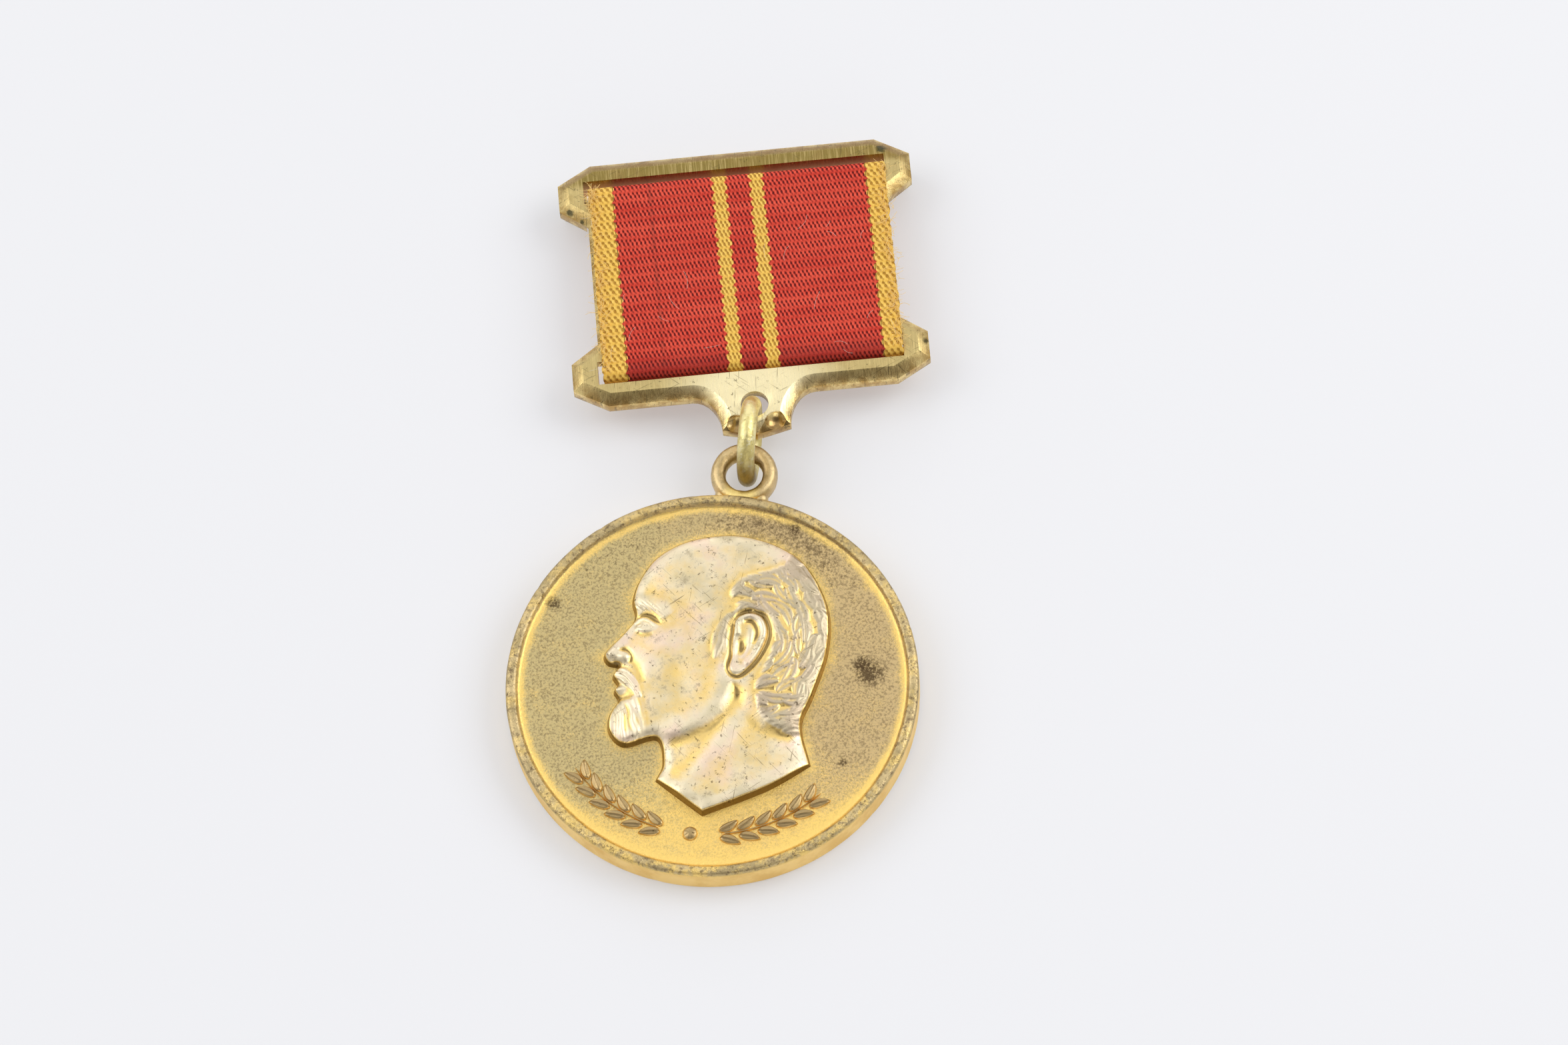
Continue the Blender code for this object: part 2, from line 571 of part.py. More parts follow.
def make_plate(material, mount):
    """The pressed plate: a bevelled front, two slots, the ring's hole, two scoops and a thinned back."""
    bm = bmesh.new()
    face = bm.faces.new([bm.verts.new((x, y, PLATE_FRONT_Z - BEVEL_H)) for x, y in plate_outline()])
    face.normal_update()
    wall = bmesh.ops.extrude_face_region(bm, geom=[face])
    front = next(part for part in wall["geom"] if isinstance(part, bmesh.types.BMFace))
    for vert in bm.verts:
        if vert not in front.verts:
            vert.co.z = PLATE_BACK_Z
    bmesh.ops.recalc_face_normals(bm, faces=bm.faces)
    bmesh.ops.inset_region(bm, faces=[front], thickness=BEVEL_W, depth=0.0, use_even_offset=True)
    bmesh.ops.translate(bm, verts=front.verts, vec=(0.0, 0.0, BEVEL_H))
    plate = finish_object("mount_plate", bm, material, mount, 20.0)
    low, high = PLATE_BACK_Z - CUT_PAST, PLATE_FRONT_Z + CUT_PAST
    inner = SLOT_OUTER_Y - SLOT_H
    cuts = {
        "slot_cut_top": box(-SLOT_HALF, SLOT_HALF, inner, SLOT_OUTER_Y, low, high),
        "slot_cut_low": box(-SLOT_HALF, SLOT_HALF, -SLOT_OUTER_Y, -inner, low, high),
        "panel_pocket_cut": box(-SLOT_HALF, SLOT_HALF, -inner - SLOT_H / 2, inner + SLOT_H / 2, low, SHEET_BACK_Z),
    }
    for size, depth, name in ((HOLE_D, high, "hole_cut"), (NECK_POCKET_D, SHEET_BACK_Z, "neck_pocket_cut")):
        bar = round_bar(size / 2, depth - low, 32)
        bmesh.ops.translate(bar, verts=bar.verts, vec=(0.0, HOLE_Y, (low + depth) / 2))
        cuts[name] = bar
    for side, name in ((-1, "scoop_cut_left"), (1, "scoop_cut_right")):
        ball = bmesh.new()
        bmesh.ops.create_uvsphere(ball, u_segments=16, v_segments=12, radius=SCOOP_D / 2)
        middle = (side * SCOOP_X, -PLATE_H / 2 - NECK_DROP, PLATE_FRONT_Z + SCOOP_D / 2 - BEVEL_H / 2 - SCOOP_DEPTH)
        bmesh.ops.translate(ball, verts=ball.verts, vec=middle)
        cuts[name] = ball
    for name, shape in cuts.items():
        tool = finish_object(name, shape)
        tool.parent = mount
        combine(plate, tool, "DIFFERENCE")


def ribbon_loop(half_length, high, low, radius):
    """A flat loop with round turns, seen from the side, as points (y, z)."""
    points = []
    corners = ((1, 1, 0), (-1, 1, 1), (-1, 0, 2), (1, 0, 3))
    for side, upper, quarter in corners:
        cy = side * (half_length - radius)
        cz = high - radius if upper else low + radius
        for step in range(RIBBON_TURN_STEPS + 1):
            angle = (quarter + step / RIBBON_TURN_STEPS) * math.pi / 2
            points.append((cy + radius * math.cos(angle), cz + radius * math.sin(angle)))
    return points


def make_ribbon(material, mount):
    """One band over the panel's front, through both slots and closed by a lap at the back."""
    inner_high = PLATE_FRONT_Z + SEAT_GAP
    inner_low = SHEET_BACK_Z - SEAT_GAP
    inner_r = (inner_high - inner_low) / 2 * 0.7
    inner = ribbon_loop(RIBBON_HALF - RIBBON_T, inner_high, inner_low, inner_r)
    outer = ribbon_loop(RIBBON_HALF, inner_high + RIBBON_T, inner_low - RIBBON_T, inner_r + RIBBON_T)
    bm = bmesh.new()
    for loop in (outer, inner):
        verts = [bm.verts.new((-RIBBON_W / 2, y, z)) for y, z in loop]
        for first, second in zip(verts, verts[1:] + verts[:1]):
            bm.edges.new((first, second))
    bmesh.ops.bridge_loops(bm, edges=list(bm.edges))
    side = bmesh.ops.extrude_face_region(bm, geom=list(bm.faces))
    far = [part for part in side["geom"] if isinstance(part, bmesh.types.BMVert)]
    bmesh.ops.translate(bm, verts=far, vec=(RIBBON_W, 0.0, 0.0))
    bmesh.ops.translate(bm, verts=bm.verts, vec=(RIBBON_SHIFT_X, RIBBON_SHIFT_Y, 0.0))
    ribbon = finish_object("ribbon", bm, material, mount, 40.0)
    back = inner_low - RIBBON_T
    lap = box(RIBBON_SHIFT_X - RIBBON_W / 2, RIBBON_SHIFT_X + RIBBON_W / 2, LAP_Y, LAP_Y + LAP_L,
              back - RIBBON_T, back + RIBBON_T / 2)
    layer = finish_object("ribbon_lap", lap)
    layer.parent = mount
    combine(ribbon, layer, "UNION")


def clip_section(pinch):
    """A strip of sheet folded to a U that opens downwards, seen along X, as points (y, z)."""
    inner = CHEEK_GAP / 2
    outer = inner + CLIP_SHEET
    top = PLATE_BACK_Z - SEAT_GAP
    roof = top - CLIP_SHEET
    foot = TABLE_Z + CLIP_FOOT
    fold = CLIP_SHEET * 0.6
    half = [(outer - pinch, foot), (outer, RIVET_Z), (outer, top - fold), (outer - fold, top)]
    back = [(inner - pinch, foot), (inner, RIVET_Z), (inner, roof)]
    return half + [(-y, z) for y, z in half[::-1]] + [(-y, z) for y, z in back] + back[::-1]


def make_clip(name, material, mount, side, pinch):
    """A folded clip under an ear of the top bar."""
    bm = bmesh.new()
    start = side * PIN_X - CLIP_L / 2
    face = bm.faces.new([bm.verts.new((start, PIN_Y + y, z)) for y, z in clip_section(pinch)])
    wall = bmesh.ops.extrude_face_region(bm, geom=[face])
    far = [part for part in wall["geom"] if isinstance(part, bmesh.types.BMVert)]
    bmesh.ops.translate(bm, verts=far, vec=(CLIP_L, 0.0, 0.0))
    return finish_object(name, bm, material, mount, 30.0)


def make_pin(brass, steel, mount):
    """The bracket with its rivet, the clip, and the needle that turns on the rivet."""
    bracket = make_clip("hinge_bracket", brass, mount, -1, 0.0)
    make_clip("catch_clip", brass, mount, 1, PINCH)
    lengthwise = Matrix.Rotation(math.pi / 2, 3, "X")
    hinge = (-PIN_X, PIN_Y, RIVET_Z)
    bore = round_bar(RIVET_D / 2 + SEAT_GAP, CHEEK_GAP + 2 * CLIP_SHEET + CUT_PAST, 16)
    bmesh.ops.rotate(bore, verts=bore.verts, cent=(0, 0, 0), matrix=lengthwise)
    bmesh.ops.translate(bore, verts=bore.verts, vec=hinge)
    bore_cut = finish_object("rivet_bore_cut", bore)
    bore_cut.parent = mount
    combine(bracket, bore_cut, "DIFFERENCE")

    grip = CHEEK_GAP / 2 + CLIP_SHEET + SEAT_GAP
    tall = grip + RIVET_HEAD_T
    head_r = RIVET_HEAD_D / 2
    profile = [(0.0, tall), (head_r * 0.6, tall), (head_r, grip + RIVET_HEAD_T / 2), (head_r, grip),
               (RIVET_D / 2, grip)]
    profile += [(r, -z) for r, z in profile[::-1]]
    rivet = turned(profile, 16)
    bmesh.ops.rotate(rivet, verts=rivet.verts, cent=(0, 0, 0), matrix=lengthwise)
    bmesh.ops.translate(rivet, verts=rivet.verts, vec=hinge)
    finish_object("hinge_rivet", rivet, brass, mount)

    pivot = make_empty("pin_hinge", Vector(hinge) + mount.location)
    length = 2 * PIN_X + CLIP_L / 2 + NEEDLE_PAST_CLIP
    radius = NEEDLE_D / 2
    shaft = turned([(0.0, length), (radius * 0.12, length), (radius, length - NEEDLE_POINT_L),
                    (radius, NEEDLE_EYE_D / 4), (0.0, NEEDLE_EYE_D / 4)], 12)
    bmesh.ops.rotate(shaft, verts=shaft.verts, cent=(0, 0, 0), matrix=Matrix.Rotation(math.pi / 2, 3, "Y"))
    needle = finish_object("pin_needle", shaft, steel, pivot)
    eye = round_bar(NEEDLE_EYE_D / 2, NEEDLE_D * 0.98, 20)
    hole = round_bar(RIVET_D / 2 + RUN_GAP, NEEDLE_D + CUT_PAST, 16)
    for shape, name, operation in ((eye, "needle_eye", "UNION"), (hole, "needle_bore_cut", "DIFFERENCE")):
        bmesh.ops.rotate(shape, verts=shape.verts, cent=(0, 0, 0), matrix=lengthwise)
        tool = finish_object(name, shape)
        tool.parent = pivot
        combine(needle, tool, operation)


def main():
    clear_scene()
    gilt = make_material("struck_gilt", (0.72, 0.53, 0.20), 0.38, 1.0)
    eyelet_gilt = make_material("eyelet_gilt", (0.70, 0.48, 0.22), 0.42, 1.0)
    ring_brass = make_material("ring_brass", (0.55, 0.47, 0.22), 0.45, 1.0)
    plate_brass = make_material("plate_brass", (0.74, 0.61, 0.32), 0.35, 1.0)
    pin_brass = make_material("pin_brass", (0.60, 0.49, 0.25), 0.4, 1.0)
    pin_steel = make_material("pin_steel", (0.55, 0.55, 0.54), 0.35, 1.0)
    red = make_material("ribbon_red", (0.58, 0.06, 0.04), 0.85, 0.0)

    medal = make_empty("medal", (0.0, 0.0, 0.0), (MEDAL_LEAN, 0.0, MEDAL_HEADING))
    make_disc(gilt, medal)
    make_eyelet(eyelet_gilt, medal)
    make_ring(ring_brass)
    mount = make_empty("mount", plate_centre())
    make_plate(plate_brass, mount)
    make_ribbon(red, mount)
    make_pin(pin_brass, pin_steel, mount)


main()
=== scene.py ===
"""The looks of a struck medal on a ribbon mount.

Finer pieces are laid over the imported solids, with their finishes, a floor, the light and the camera.
"""

from math import atan2, copysign, cos, exp, hypot, pi, radians, sin, sqrt

import bmesh
import bpy
import numpy as np
from mathutils import Matrix, Vector, noise


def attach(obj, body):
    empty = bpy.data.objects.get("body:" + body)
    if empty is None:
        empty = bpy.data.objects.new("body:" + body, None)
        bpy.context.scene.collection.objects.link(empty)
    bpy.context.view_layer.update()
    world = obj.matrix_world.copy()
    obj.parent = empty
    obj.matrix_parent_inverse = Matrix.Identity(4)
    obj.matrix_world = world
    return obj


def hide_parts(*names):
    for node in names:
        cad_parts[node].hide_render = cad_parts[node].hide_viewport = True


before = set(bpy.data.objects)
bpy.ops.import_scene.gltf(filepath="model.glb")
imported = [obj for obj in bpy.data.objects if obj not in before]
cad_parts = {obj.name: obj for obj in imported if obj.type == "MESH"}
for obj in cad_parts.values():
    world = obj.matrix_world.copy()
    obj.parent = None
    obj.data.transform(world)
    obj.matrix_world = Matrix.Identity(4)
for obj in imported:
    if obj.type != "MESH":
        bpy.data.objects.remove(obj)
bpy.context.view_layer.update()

MM = 0.001

# Sizes that the part's source has too, in millimetres
DISC_R = 16.0
FIELD_Z = 2.05
RIM_Z = 2.45
FOOT_Z = -0.2
MEDAL_HEADING = radians(-12.4)
MEDAL_LEAN = radians(1.7)
TABLE_Z = -0.67457
HEAD_H = 17.0
HEAD_X = 0.4
CHIN_Y = -4.5
RELIEF_H = 1.05
RELIEF_EDGE_H = 0.32
SPRIG_R = 12.5
SPRIG_FIRST = radians(14.0)
SPRIG_STEP = radians(6.6)
SPRIG_LEAVES = 6
LEAF_L = 1.8
LEAF_W = 0.85
LEAF_H = 0.28
LEAF_SPLAY = radians(24.0)
KNOT_R = 0.6
EYELET_Y = 18.25
EYELET_Z = 1.125
EYELET_MIDDLE_R = 2.04
EYELET_WALL = 0.59
EYELET_HALF_T = 0.85
RING_TOP = Vector((5.10962, 22.98654, 2.92543))
RING_HEADING = radians(-10.3)
RING_R = 2.9
RING_WIRE_R = 0.7
PLATE = Vector((5.24962, 35.42154, 0.0))
PLATE_FRONT_Z = 3.22543
SLOT_OUTER_Y = 9.175
SLOT_LIP = 0.5
RIBBON_W = 23.7
RIBBON_T = 0.44
RIBBON_FRONT_Z = 3.52543
RIBBON_BACK_Z = 2.12543
RIBBON_HALF = 8.575
RIBBON_TURN_R = 0.565
RIBBON_SHIFT = Vector((0.2, -0.175, 0.0))
LAP_FROM = 3.0
LAP_TO = -2.0
HINGE = Vector((-7.67538, 44.12654, 0.27543))
NEEDLE_R = 0.4
NEEDLE_L = 27.0
NEEDLE_POINT_L = 2.2
RIVET_R = 0.35
RIVET_HEAD_R = 0.625
RIVET_GRIP = 0.85
RIVET_HEAD_T = 0.3

MEDAL = Matrix.Rotation(MEDAL_HEADING, 4, "Z") @ Matrix.Rotation(MEDAL_LEAN, 4, "X")
MOUNT = Matrix.Translation(PLATE)
RING = Matrix.Translation(RING_TOP) @ Matrix.Rotation(RING_HEADING, 4, "Z")


def show(name, data):
    """Put an object with its data into the scene."""
    item = bpy.data.objects.new(name, data)
    bpy.context.collection.objects.link(item)
    return item


def piece(name, bm, matrix, finish, body, nodes=(), smooth_angle=40.0):
    """Make a piece that rides on a body from a bmesh in millimetres."""
    bm.transform(Matrix.Scale(MM, 4) @ matrix)
    mesh = bpy.data.meshes.new(name)
    bm.to_mesh(mesh)
    bm.free()
    mesh.shade_smooth()
    mesh.set_sharp_from_angle(angle=radians(smooth_angle))
    mesh.materials.append(finish)
    item = show(name, mesh)
    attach(item, body)
    if nodes:
        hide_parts(*nodes)
    return item


def paint(item, name, values):
    """Keep a number for every vertex, which the finish reads."""
    attribute = item.data.attributes.new(name, "FLOAT", "POINT")
    attribute.data.foreach_set("value", np.asarray(values, np.float32))


def places(bm):
    return np.array([vert.co for vert in bm.verts])


def turned(profile, steps, closed):
    """Spin a profile of radius and height about Z."""
    bm = bmesh.new()
    verts = [bm.verts.new((r, 0.0, z)) for r, z in profile]
    edges = [bm.edges.new(pair) for pair in zip(verts, verts[1:])]
    if closed:
        edges.append(bm.edges.new((verts[-1], verts[0])))
    bmesh.ops.spin(bm, geom=verts + edges, cent=(0, 0, 0), axis=(0, 0, 1), angle=2 * pi,
                   steps=steps, use_merge=True)
    bmesh.ops.remove_doubles(bm, verts=bm.verts, dist=1e-5)
    bmesh.ops.recalc_face_normals(bm, faces=bm.faces)
    return bm


def squarer(value, power):
    """A number between -1 and 1, pushed outwards by a power below 1."""
    return copysign(abs(value) ** power, value)


def round_section(middle, half_width, half_height, width_power=1.0, height_power=1.0, steps=20):
    """A closed oval profile beside the axis, for turned."""
    angles = [2 * pi * k / steps for k in range(steps)]
    return [(middle + half_width * squarer(cos(angle), width_power),
             half_height * squarer(sin(angle), height_power)) for angle in angles]


def grid(columns, rows):
    """A flat grid over -1..1 both ways, with its vertices' places."""
    bm = bmesh.new()
    bmesh.ops.create_grid(bm, x_segments=columns, y_segments=rows, size=1.0)
    spots = places(bm)
    return bm, spots[:, 0], spots[:, 1]


def grid_verts(bm, columns, rows):
    """The vertices of one more flat grid in a bmesh."""
    return bmesh.ops.create_grid(bm, x_segments=columns, y_segments=rows, size=1.0)["verts"]


def move_to(bm, x, y, z):
    for vert, px, py, pz in zip(bm.verts, x, y, z):
        vert.co = (px, py, pz)


def bevelled_copy(node, width):
    """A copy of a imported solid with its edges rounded, in millimetres."""
    bm = bmesh.new()
    bm.from_mesh(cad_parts[node].data)
    bm.transform(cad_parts[node].matrix_world)
    bm.transform(Matrix.Scale(1 / MM, 4))
    bmesh.ops.remove_doubles(bm, verts=bm.verts, dist=1e-4)
    bmesh.ops.dissolve_limit(bm, angle_limit=radians(1.0), verts=bm.verts, edges=bm.edges)
    sharp = [edge for edge in bm.edges if edge.calc_face_angle(0.0) > radians(24.0)]
    bmesh.ops.bevel(bm, geom=sharp, offset=width, offset_type="OFFSET", affect="EDGES", segments=2,
                    profile=0.5, material=-1, clamp_overlap=True)
    return bm


# Shader maths

def maths(operation, swapped=False):
    """A method that puts a maths node behind a socket."""
    def apply(self, *others):
        values = (*others, self) if swapped else (self, *others)
        return Graph(self.tree).node("ShaderNodeMath", {"operation": operation}, dict(enumerate(values)))
    return apply


class Socket:
    """A shader socket that takes part in Python expressions."""

    def __init__(self, tree, link):
        self.tree = tree
        self.link = link

    __add__ = maths("ADD")
    __radd__ = maths("ADD", swapped=True)
    __sub__ = maths("SUBTRACT")
    __rsub__ = maths("SUBTRACT", swapped=True)
    __mul__ = maths("MULTIPLY")
    __rmul__ = maths("MULTIPLY", swapped=True)
    __truediv__ = maths("DIVIDE")
    __abs__ = maths("ABSOLUTE")
    sine = maths("SINE")
    floor = maths("FLOOR")
    least = maths("MINIMUM")
    most = maths("MAXIMUM")


class Graph:
    """A node tree that is written as expressions."""

    def __init__(self, tree):
        self.tree = tree

    def feed(self, slot, value):
        """Link a socket into a slot, or set the slot to a number, place or colour."""
        if isinstance(value, Socket):
            self.tree.links.new(value.link, slot)
        else:
            slot.default_value = (*value, 1.0) if slot.type == "RGBA" else value

    def node(self, kind, settings=None, inputs=None, output=0):
        """Add a node with its settings and what its slots are fed, and give one output."""
        made = self.tree.nodes.new(kind)
        for key, value in (settings or {}).items():
            setattr(made, key, value)
        for key, value in (inputs or {}).items():
            self.feed(made.inputs[key], value)
        return Socket(self.tree, made.outputs[output])

    def step(self, value, low, high):
        """A smooth step from 0 at low to 1 at high."""
        return self.node("ShaderNodeMapRange", {"interpolation_type": "SMOOTHSTEP"},
                         {"Value": value, "From Min": low, "From Max": high})

    def mix(self, first, second, share):
        """A colour between two colours."""
        return self.node("ShaderNodeMix", {"data_type": "RGBA"}, {0: share, 6: first, 7: second}, 2)

    def layers(self, tone, *rows):
        """A tone with colours laid on it in turn, by a share or where a pattern goes from low to high."""
        for colour, share, *limits in rows:
            if limits:
                low, high, most = (*limits, 1.0)[:3]
                share = self.step(share, low, high) * most
            tone = self.mix(tone, colour, share)
        return tone


class Finish(Graph):
    """A material of one surface, on the piece's own coordinates in millimetres."""

    def __init__(self, name):
        self.material = bpy.data.materials.new(name)
        self.material.use_nodes = True
        super().__init__(self.material.node_tree)
        self.shader = self.tree.nodes["Principled BSDF"]
        coordinates = self.node("ShaderNodeTexCoord", output="Object")
        scaled = {0: coordinates, "Scale": 1 / MM}
        self.place = self.node("ShaderNodeVectorMath", {"operation": "SCALE"}, scaled)

    def attribute(self, name):
        return self.node("ShaderNodeAttribute", {"attribute_name": name}, output="Fac")

    def axis(self, index):
        """One of the place's three numbers, in millimetres."""
        return self.node("ShaderNodeSeparateXYZ", inputs={0: self.place}, output=index)

    def stretched(self, scale, turn=0.0):
        """The place turned about Z and then scaled along each axis."""
        return self.node("ShaderNodeMapping", {"vector_type": "TEXTURE"}, {
            "Vector": self.place, "Rotation": (0, 0, turn), "Scale": tuple(1 / share for share in scale)})

    def noise(self, scale, detail=2.0, roughness=0.5, place=None):
        return self.node("ShaderNodeTexNoise", inputs={
            "Vector": place or self.place, "Scale": scale, "Detail": detail, "Roughness": roughness})

    def near(self, spot, reach, ragged=None):
        """1 at a spot, in millimetres, falling to 0 at a reach."""
        ends = {0: self.place, 1: spot}
        away = self.node("ShaderNodeVectorMath", {"operation": "DISTANCE"}, ends, "Value")
        if ragged is not None:
            away = away + (ragged - 0.5) * (reach * 1.6)
        return self.step(away, reach, reach * 0.35)

    def scratches(self, length, turns):
        """Thin lines, the tops of a noise above a level, along a few turns."""
        total = 0.0
        for turn, level in turns:
            thread = self.noise(1.0, 2.0, 0.5, self.stretched((length, 9.0, 1.0), turn))
            total = self.step(thread, level, level + 0.03) + total
        return total

    def bump(self, height, distance, strength=1.0, under=None):
        inputs = {"Height": height, "Distance": distance * MM, "Strength": strength}
        if under is not None:
            inputs["Normal"] = under
        return self.node("ShaderNodeBump", inputs=inputs)

    def set(self, **values):
        """Set the shader's slots, by their names with low lines for spaces."""
        for key, value in values.items():
            self.feed(self.shader.inputs[key.replace("_", " ")], value)
        return self.material

    def metal(self, tone, rough, normal, metallic=1.0):
        return self.set(Base_Color=tone, Metallic=metallic, Roughness=rough, Normal=normal)


def medal_spot(x, y, z=FIELD_Z):
    return tuple(MEDAL @ Vector((x, y, z)))


# The struck gilt

BRIGHT_GOLD = (0.98, 0.69, 0.21)
OLIVE_GOLD = (0.61, 0.49, 0.235)
TAN_GOLD = (0.63, 0.47, 0.235)
WORN_PALE = (0.66, 0.51, 0.26)
WORN_GREY = (0.47, 0.365, 0.185)
DARK_BROWN = (0.085, 0.052, 0.026)
SHADE_BROWN = (0.20, 0.14, 0.07)
RIM_SPECK = (0.20, 0.14, 0.08)
WALL_BRIGHT = (1.0, 0.73, 0.28)
WALL_DEEP = (0.87, 0.59, 0.19)

# Stains on the field: where, from the disc's middle, and how far they reach
STAINS = ((12.0, 2.3, 1.6), (11.2, 2.9, 0.9), (-13.2, 5.4, 0.8), (10.9, -5.4, 0.5), (4.6, 13.7, 0.7))
SPECKLED_X, SPECKLED_Y, SPECKLED_REACH = 4.5, 12.8, 8.0


def struck_field_finish():
    """Sanded gilt: olive patches, stains and a worn rim; darker to the left, partly patina and partly
    painted shade; brighter towards the bottom, partly gilt and partly painted light; a painted highlight
    along the relief and inside the rim.
    """
    f = Finish("struck_gilt_field")
    x, y = f.axis(0), f.axis(1)
    # Painted highlight: a bright fringe along the relief and inside the rim, also cleaner and glossier.
    painted_fringe_highlight, rim = f.attribute("painted_fringe_highlight"), f.attribute("rim")
    cloud = f.noise(0.28, 4.0, 0.6)
    patch = f.noise(0.55, 6.0, 0.68)
    grain = f.noise(5.4, 3.0, 0.7)
    fine = f.noise(11.0, 2.0, 0.6)
    specks = f.noise(2.8, 6.0, 0.8)
    ragged = f.noise(2.6, 6.0, 0.8)
    # The olive to the left is partly patina and partly painted shade; the brighter gilt towards the bottom,
    # on the field and the rim, is partly the gilt's own tone and partly painted light.
    left = f.step(x + (cloud - 0.5) * 12.0, 5.0, -7.0)
    low = f.step(y + (cloud - 0.5) * 6.0, -6.0, -13.0)
    upper = f.step(y + (cloud - 0.5) * 8.0, 3.0, 13.0)
    # The bright gilt: random patches, with painted light towards the bottom and a painted highlight along
    # the relief and inside the rim.
    gilt = patch * 0.6 + low * 0.34 + painted_fringe_highlight * 0.36 + (fine - 0.5) * 0.6
    speckled = 0.10 * upper + 0.13 * f.near(medal_spot(SPECKLED_X, SPECKLED_Y), SPECKLED_REACH)
    broken = f.step(grain, 0.28, 0.56) * 0.85
    rim_tone = f.layers(
        WORN_GREY,
        (WORN_PALE, patch, 0.40, 0.62),
        # The rim's bright patches grow towards the bottom as painted light.
        (BRIGHT_GOLD, f.noise(0.8, 5.0, 0.65), 0.46, 0.62, 0.42 + 0.33 * low),
        (RIM_SPECK, ragged, 0.50, 0.62, 0.8))
    tone = f.layers(
        TAN_GOLD,
        (OLIVE_GOLD, left),
        (BRIGHT_GOLD, gilt, 0.30, 0.72),
        (SHADE_BROWN, grain, 0.44, 0.64, (1.0 - painted_fringe_highlight) * (0.62 - 0.40 * low)),
        (DARK_BROWN, specks, 0.645 - speckled, 0.72 - 0.6 * speckled, 0.7 - 0.42 * painted_fringe_highlight),
        *((DARK_BROWN, f.near(medal_spot(sx, sy), reach, ragged) * broken) for sx, sy, reach in STAINS),
        (rim_tone, rim),
        (f.layers(WALL_BRIGHT, (WALL_DEEP, cloud, 0.40, 0.62)), f.attribute("wall")))
    sanded = f.bump(grain * 0.6 + fine * 0.4, 0.08, 0.8)
    dents = f.bump(f.step(f.noise(1.9, 5.0, 0.65), 0.58, 0.70) * rim, 0.06, 0.8, sanded)
    return f.metal(tone, 0.42 + 0.12 * cloud - 0.10 * painted_fringe_highlight - 0.10 * rim, dents)


HEAD_GOLD = (0.95, 0.68, 0.24)
HEAD_PALE = (0.90, 0.78, 0.55)
HEAD_PINK = (0.92, 0.73, 0.56)
HEAD_OLIVE = (0.70, 0.61, 0.40)
HAIR_PAINTED_SHADE = (0.46, 0.38, 0.25)
HOLLOW_TARNISH_AND_SHADE = (0.16, 0.10, 0.04)
SMUT_BROWN = (0.30, 0.22, 0.11)
HEAD_SCRATCHES = ((0.5, 0.68), (-0.9, 0.69), (1.3, 0.685), (2.2, 0.69))


def struck_head_finish():
    """Worn gilt: pale heights, bright hollows whose deepest parts are darkened as tarnish and painted
    shade, painted shade over the hair, scratches and dark specks.
    """
    f = Finish("struck_gilt_head")
    wear = f.attribute("wear")
    cloud = f.noise(0.45, 5.0, 0.65)
    tint = f.noise(0.30, 3.0, 0.5, f.stretched((1.0, 1.0, 1.0), 0.7))
    high = f.step(wear + (cloud - 0.5) * 0.8, 0.28, 0.74)
    scratches = f.scratches(0.34, HEAD_SCRATCHES) * f.step(f.noise(0.24, 2.0, 0.5), 0.44, 0.62)
    pale = f.layers(
        HEAD_PALE,
        (HEAD_PINK, tint, 0.48, 0.64),
        (HEAD_OLIVE, tint, 0.50, 0.34, 0.8),
        # Painted shade: the hair is darkened all over, for the shade between its locks.
        (HAIR_PAINTED_SHADE, f.attribute("hair") * 0.7))
    tone = f.layers(
        HEAD_GOLD,
        (pale, high),
        # The deepest hollows are darkened, partly tarnish and partly painted shade.
        (HOLLOW_TARNISH_AND_SHADE, wear + (cloud - 0.5) * 0.4, 0.26, 0.02, 0.8),
        (SMUT_BROWN, f.noise(0.9, 7.0, 0.75), 0.54, 0.70, 0.55),
        (DARK_BROWN, f.noise(2.3, 7.0, 0.75), 0.575, 0.66, 0.8),
        (SHADE_BROWN, scratches.least(1.0) * 0.6))
    rough = 0.29 + 0.14 * f.step(f.noise(1.2, 5.0, 0.7), 0.35, 0.7) + 0.09 * high
    skin = f.bump(f.noise(4.5, 5.0, 0.7), 0.025, 0.7)
    return f.metal(tone, rough, f.bump(scratches, -0.012, 0.6, skin))


LEAF_GOLD = (0.80, 0.53, 0.18)
LEAF_RUBBED = (0.46, 0.33, 0.155)
LEAF_FOOT = (0.16, 0.10, 0.045)


def struck_sprig_finish():
    """Gilt rubbed brown on the leaves' backs, dark at their feet."""
    f = Finish("struck_gilt_sprigs")
    wear = f.attribute("wear")
    cloud = f.noise(1.1, 5.0, 0.65)
    tone = f.layers(
        LEAF_GOLD,
        (LEAF_RUBBED, wear + (cloud - 0.5) * 0.5, 0.25, 0.65),
        (LEAF_FOOT, wear, 0.14, 0.0, 0.8),
        (DARK_BROWN, f.noise(3.0, 5.0, 0.7), 0.60, 0.70, 0.6))
    return f.metal(tone, 0.30 + 0.16 * cloud, f.bump(f.noise(6.0, 4.0, 0.65), 0.025, 0.7))


EYELET_DULL = (0.54, 0.395, 0.19)
EYELET_PALE = (0.73, 0.545, 0.275)
SOLDER_GOLD = (1.0, 0.77, 0.27)


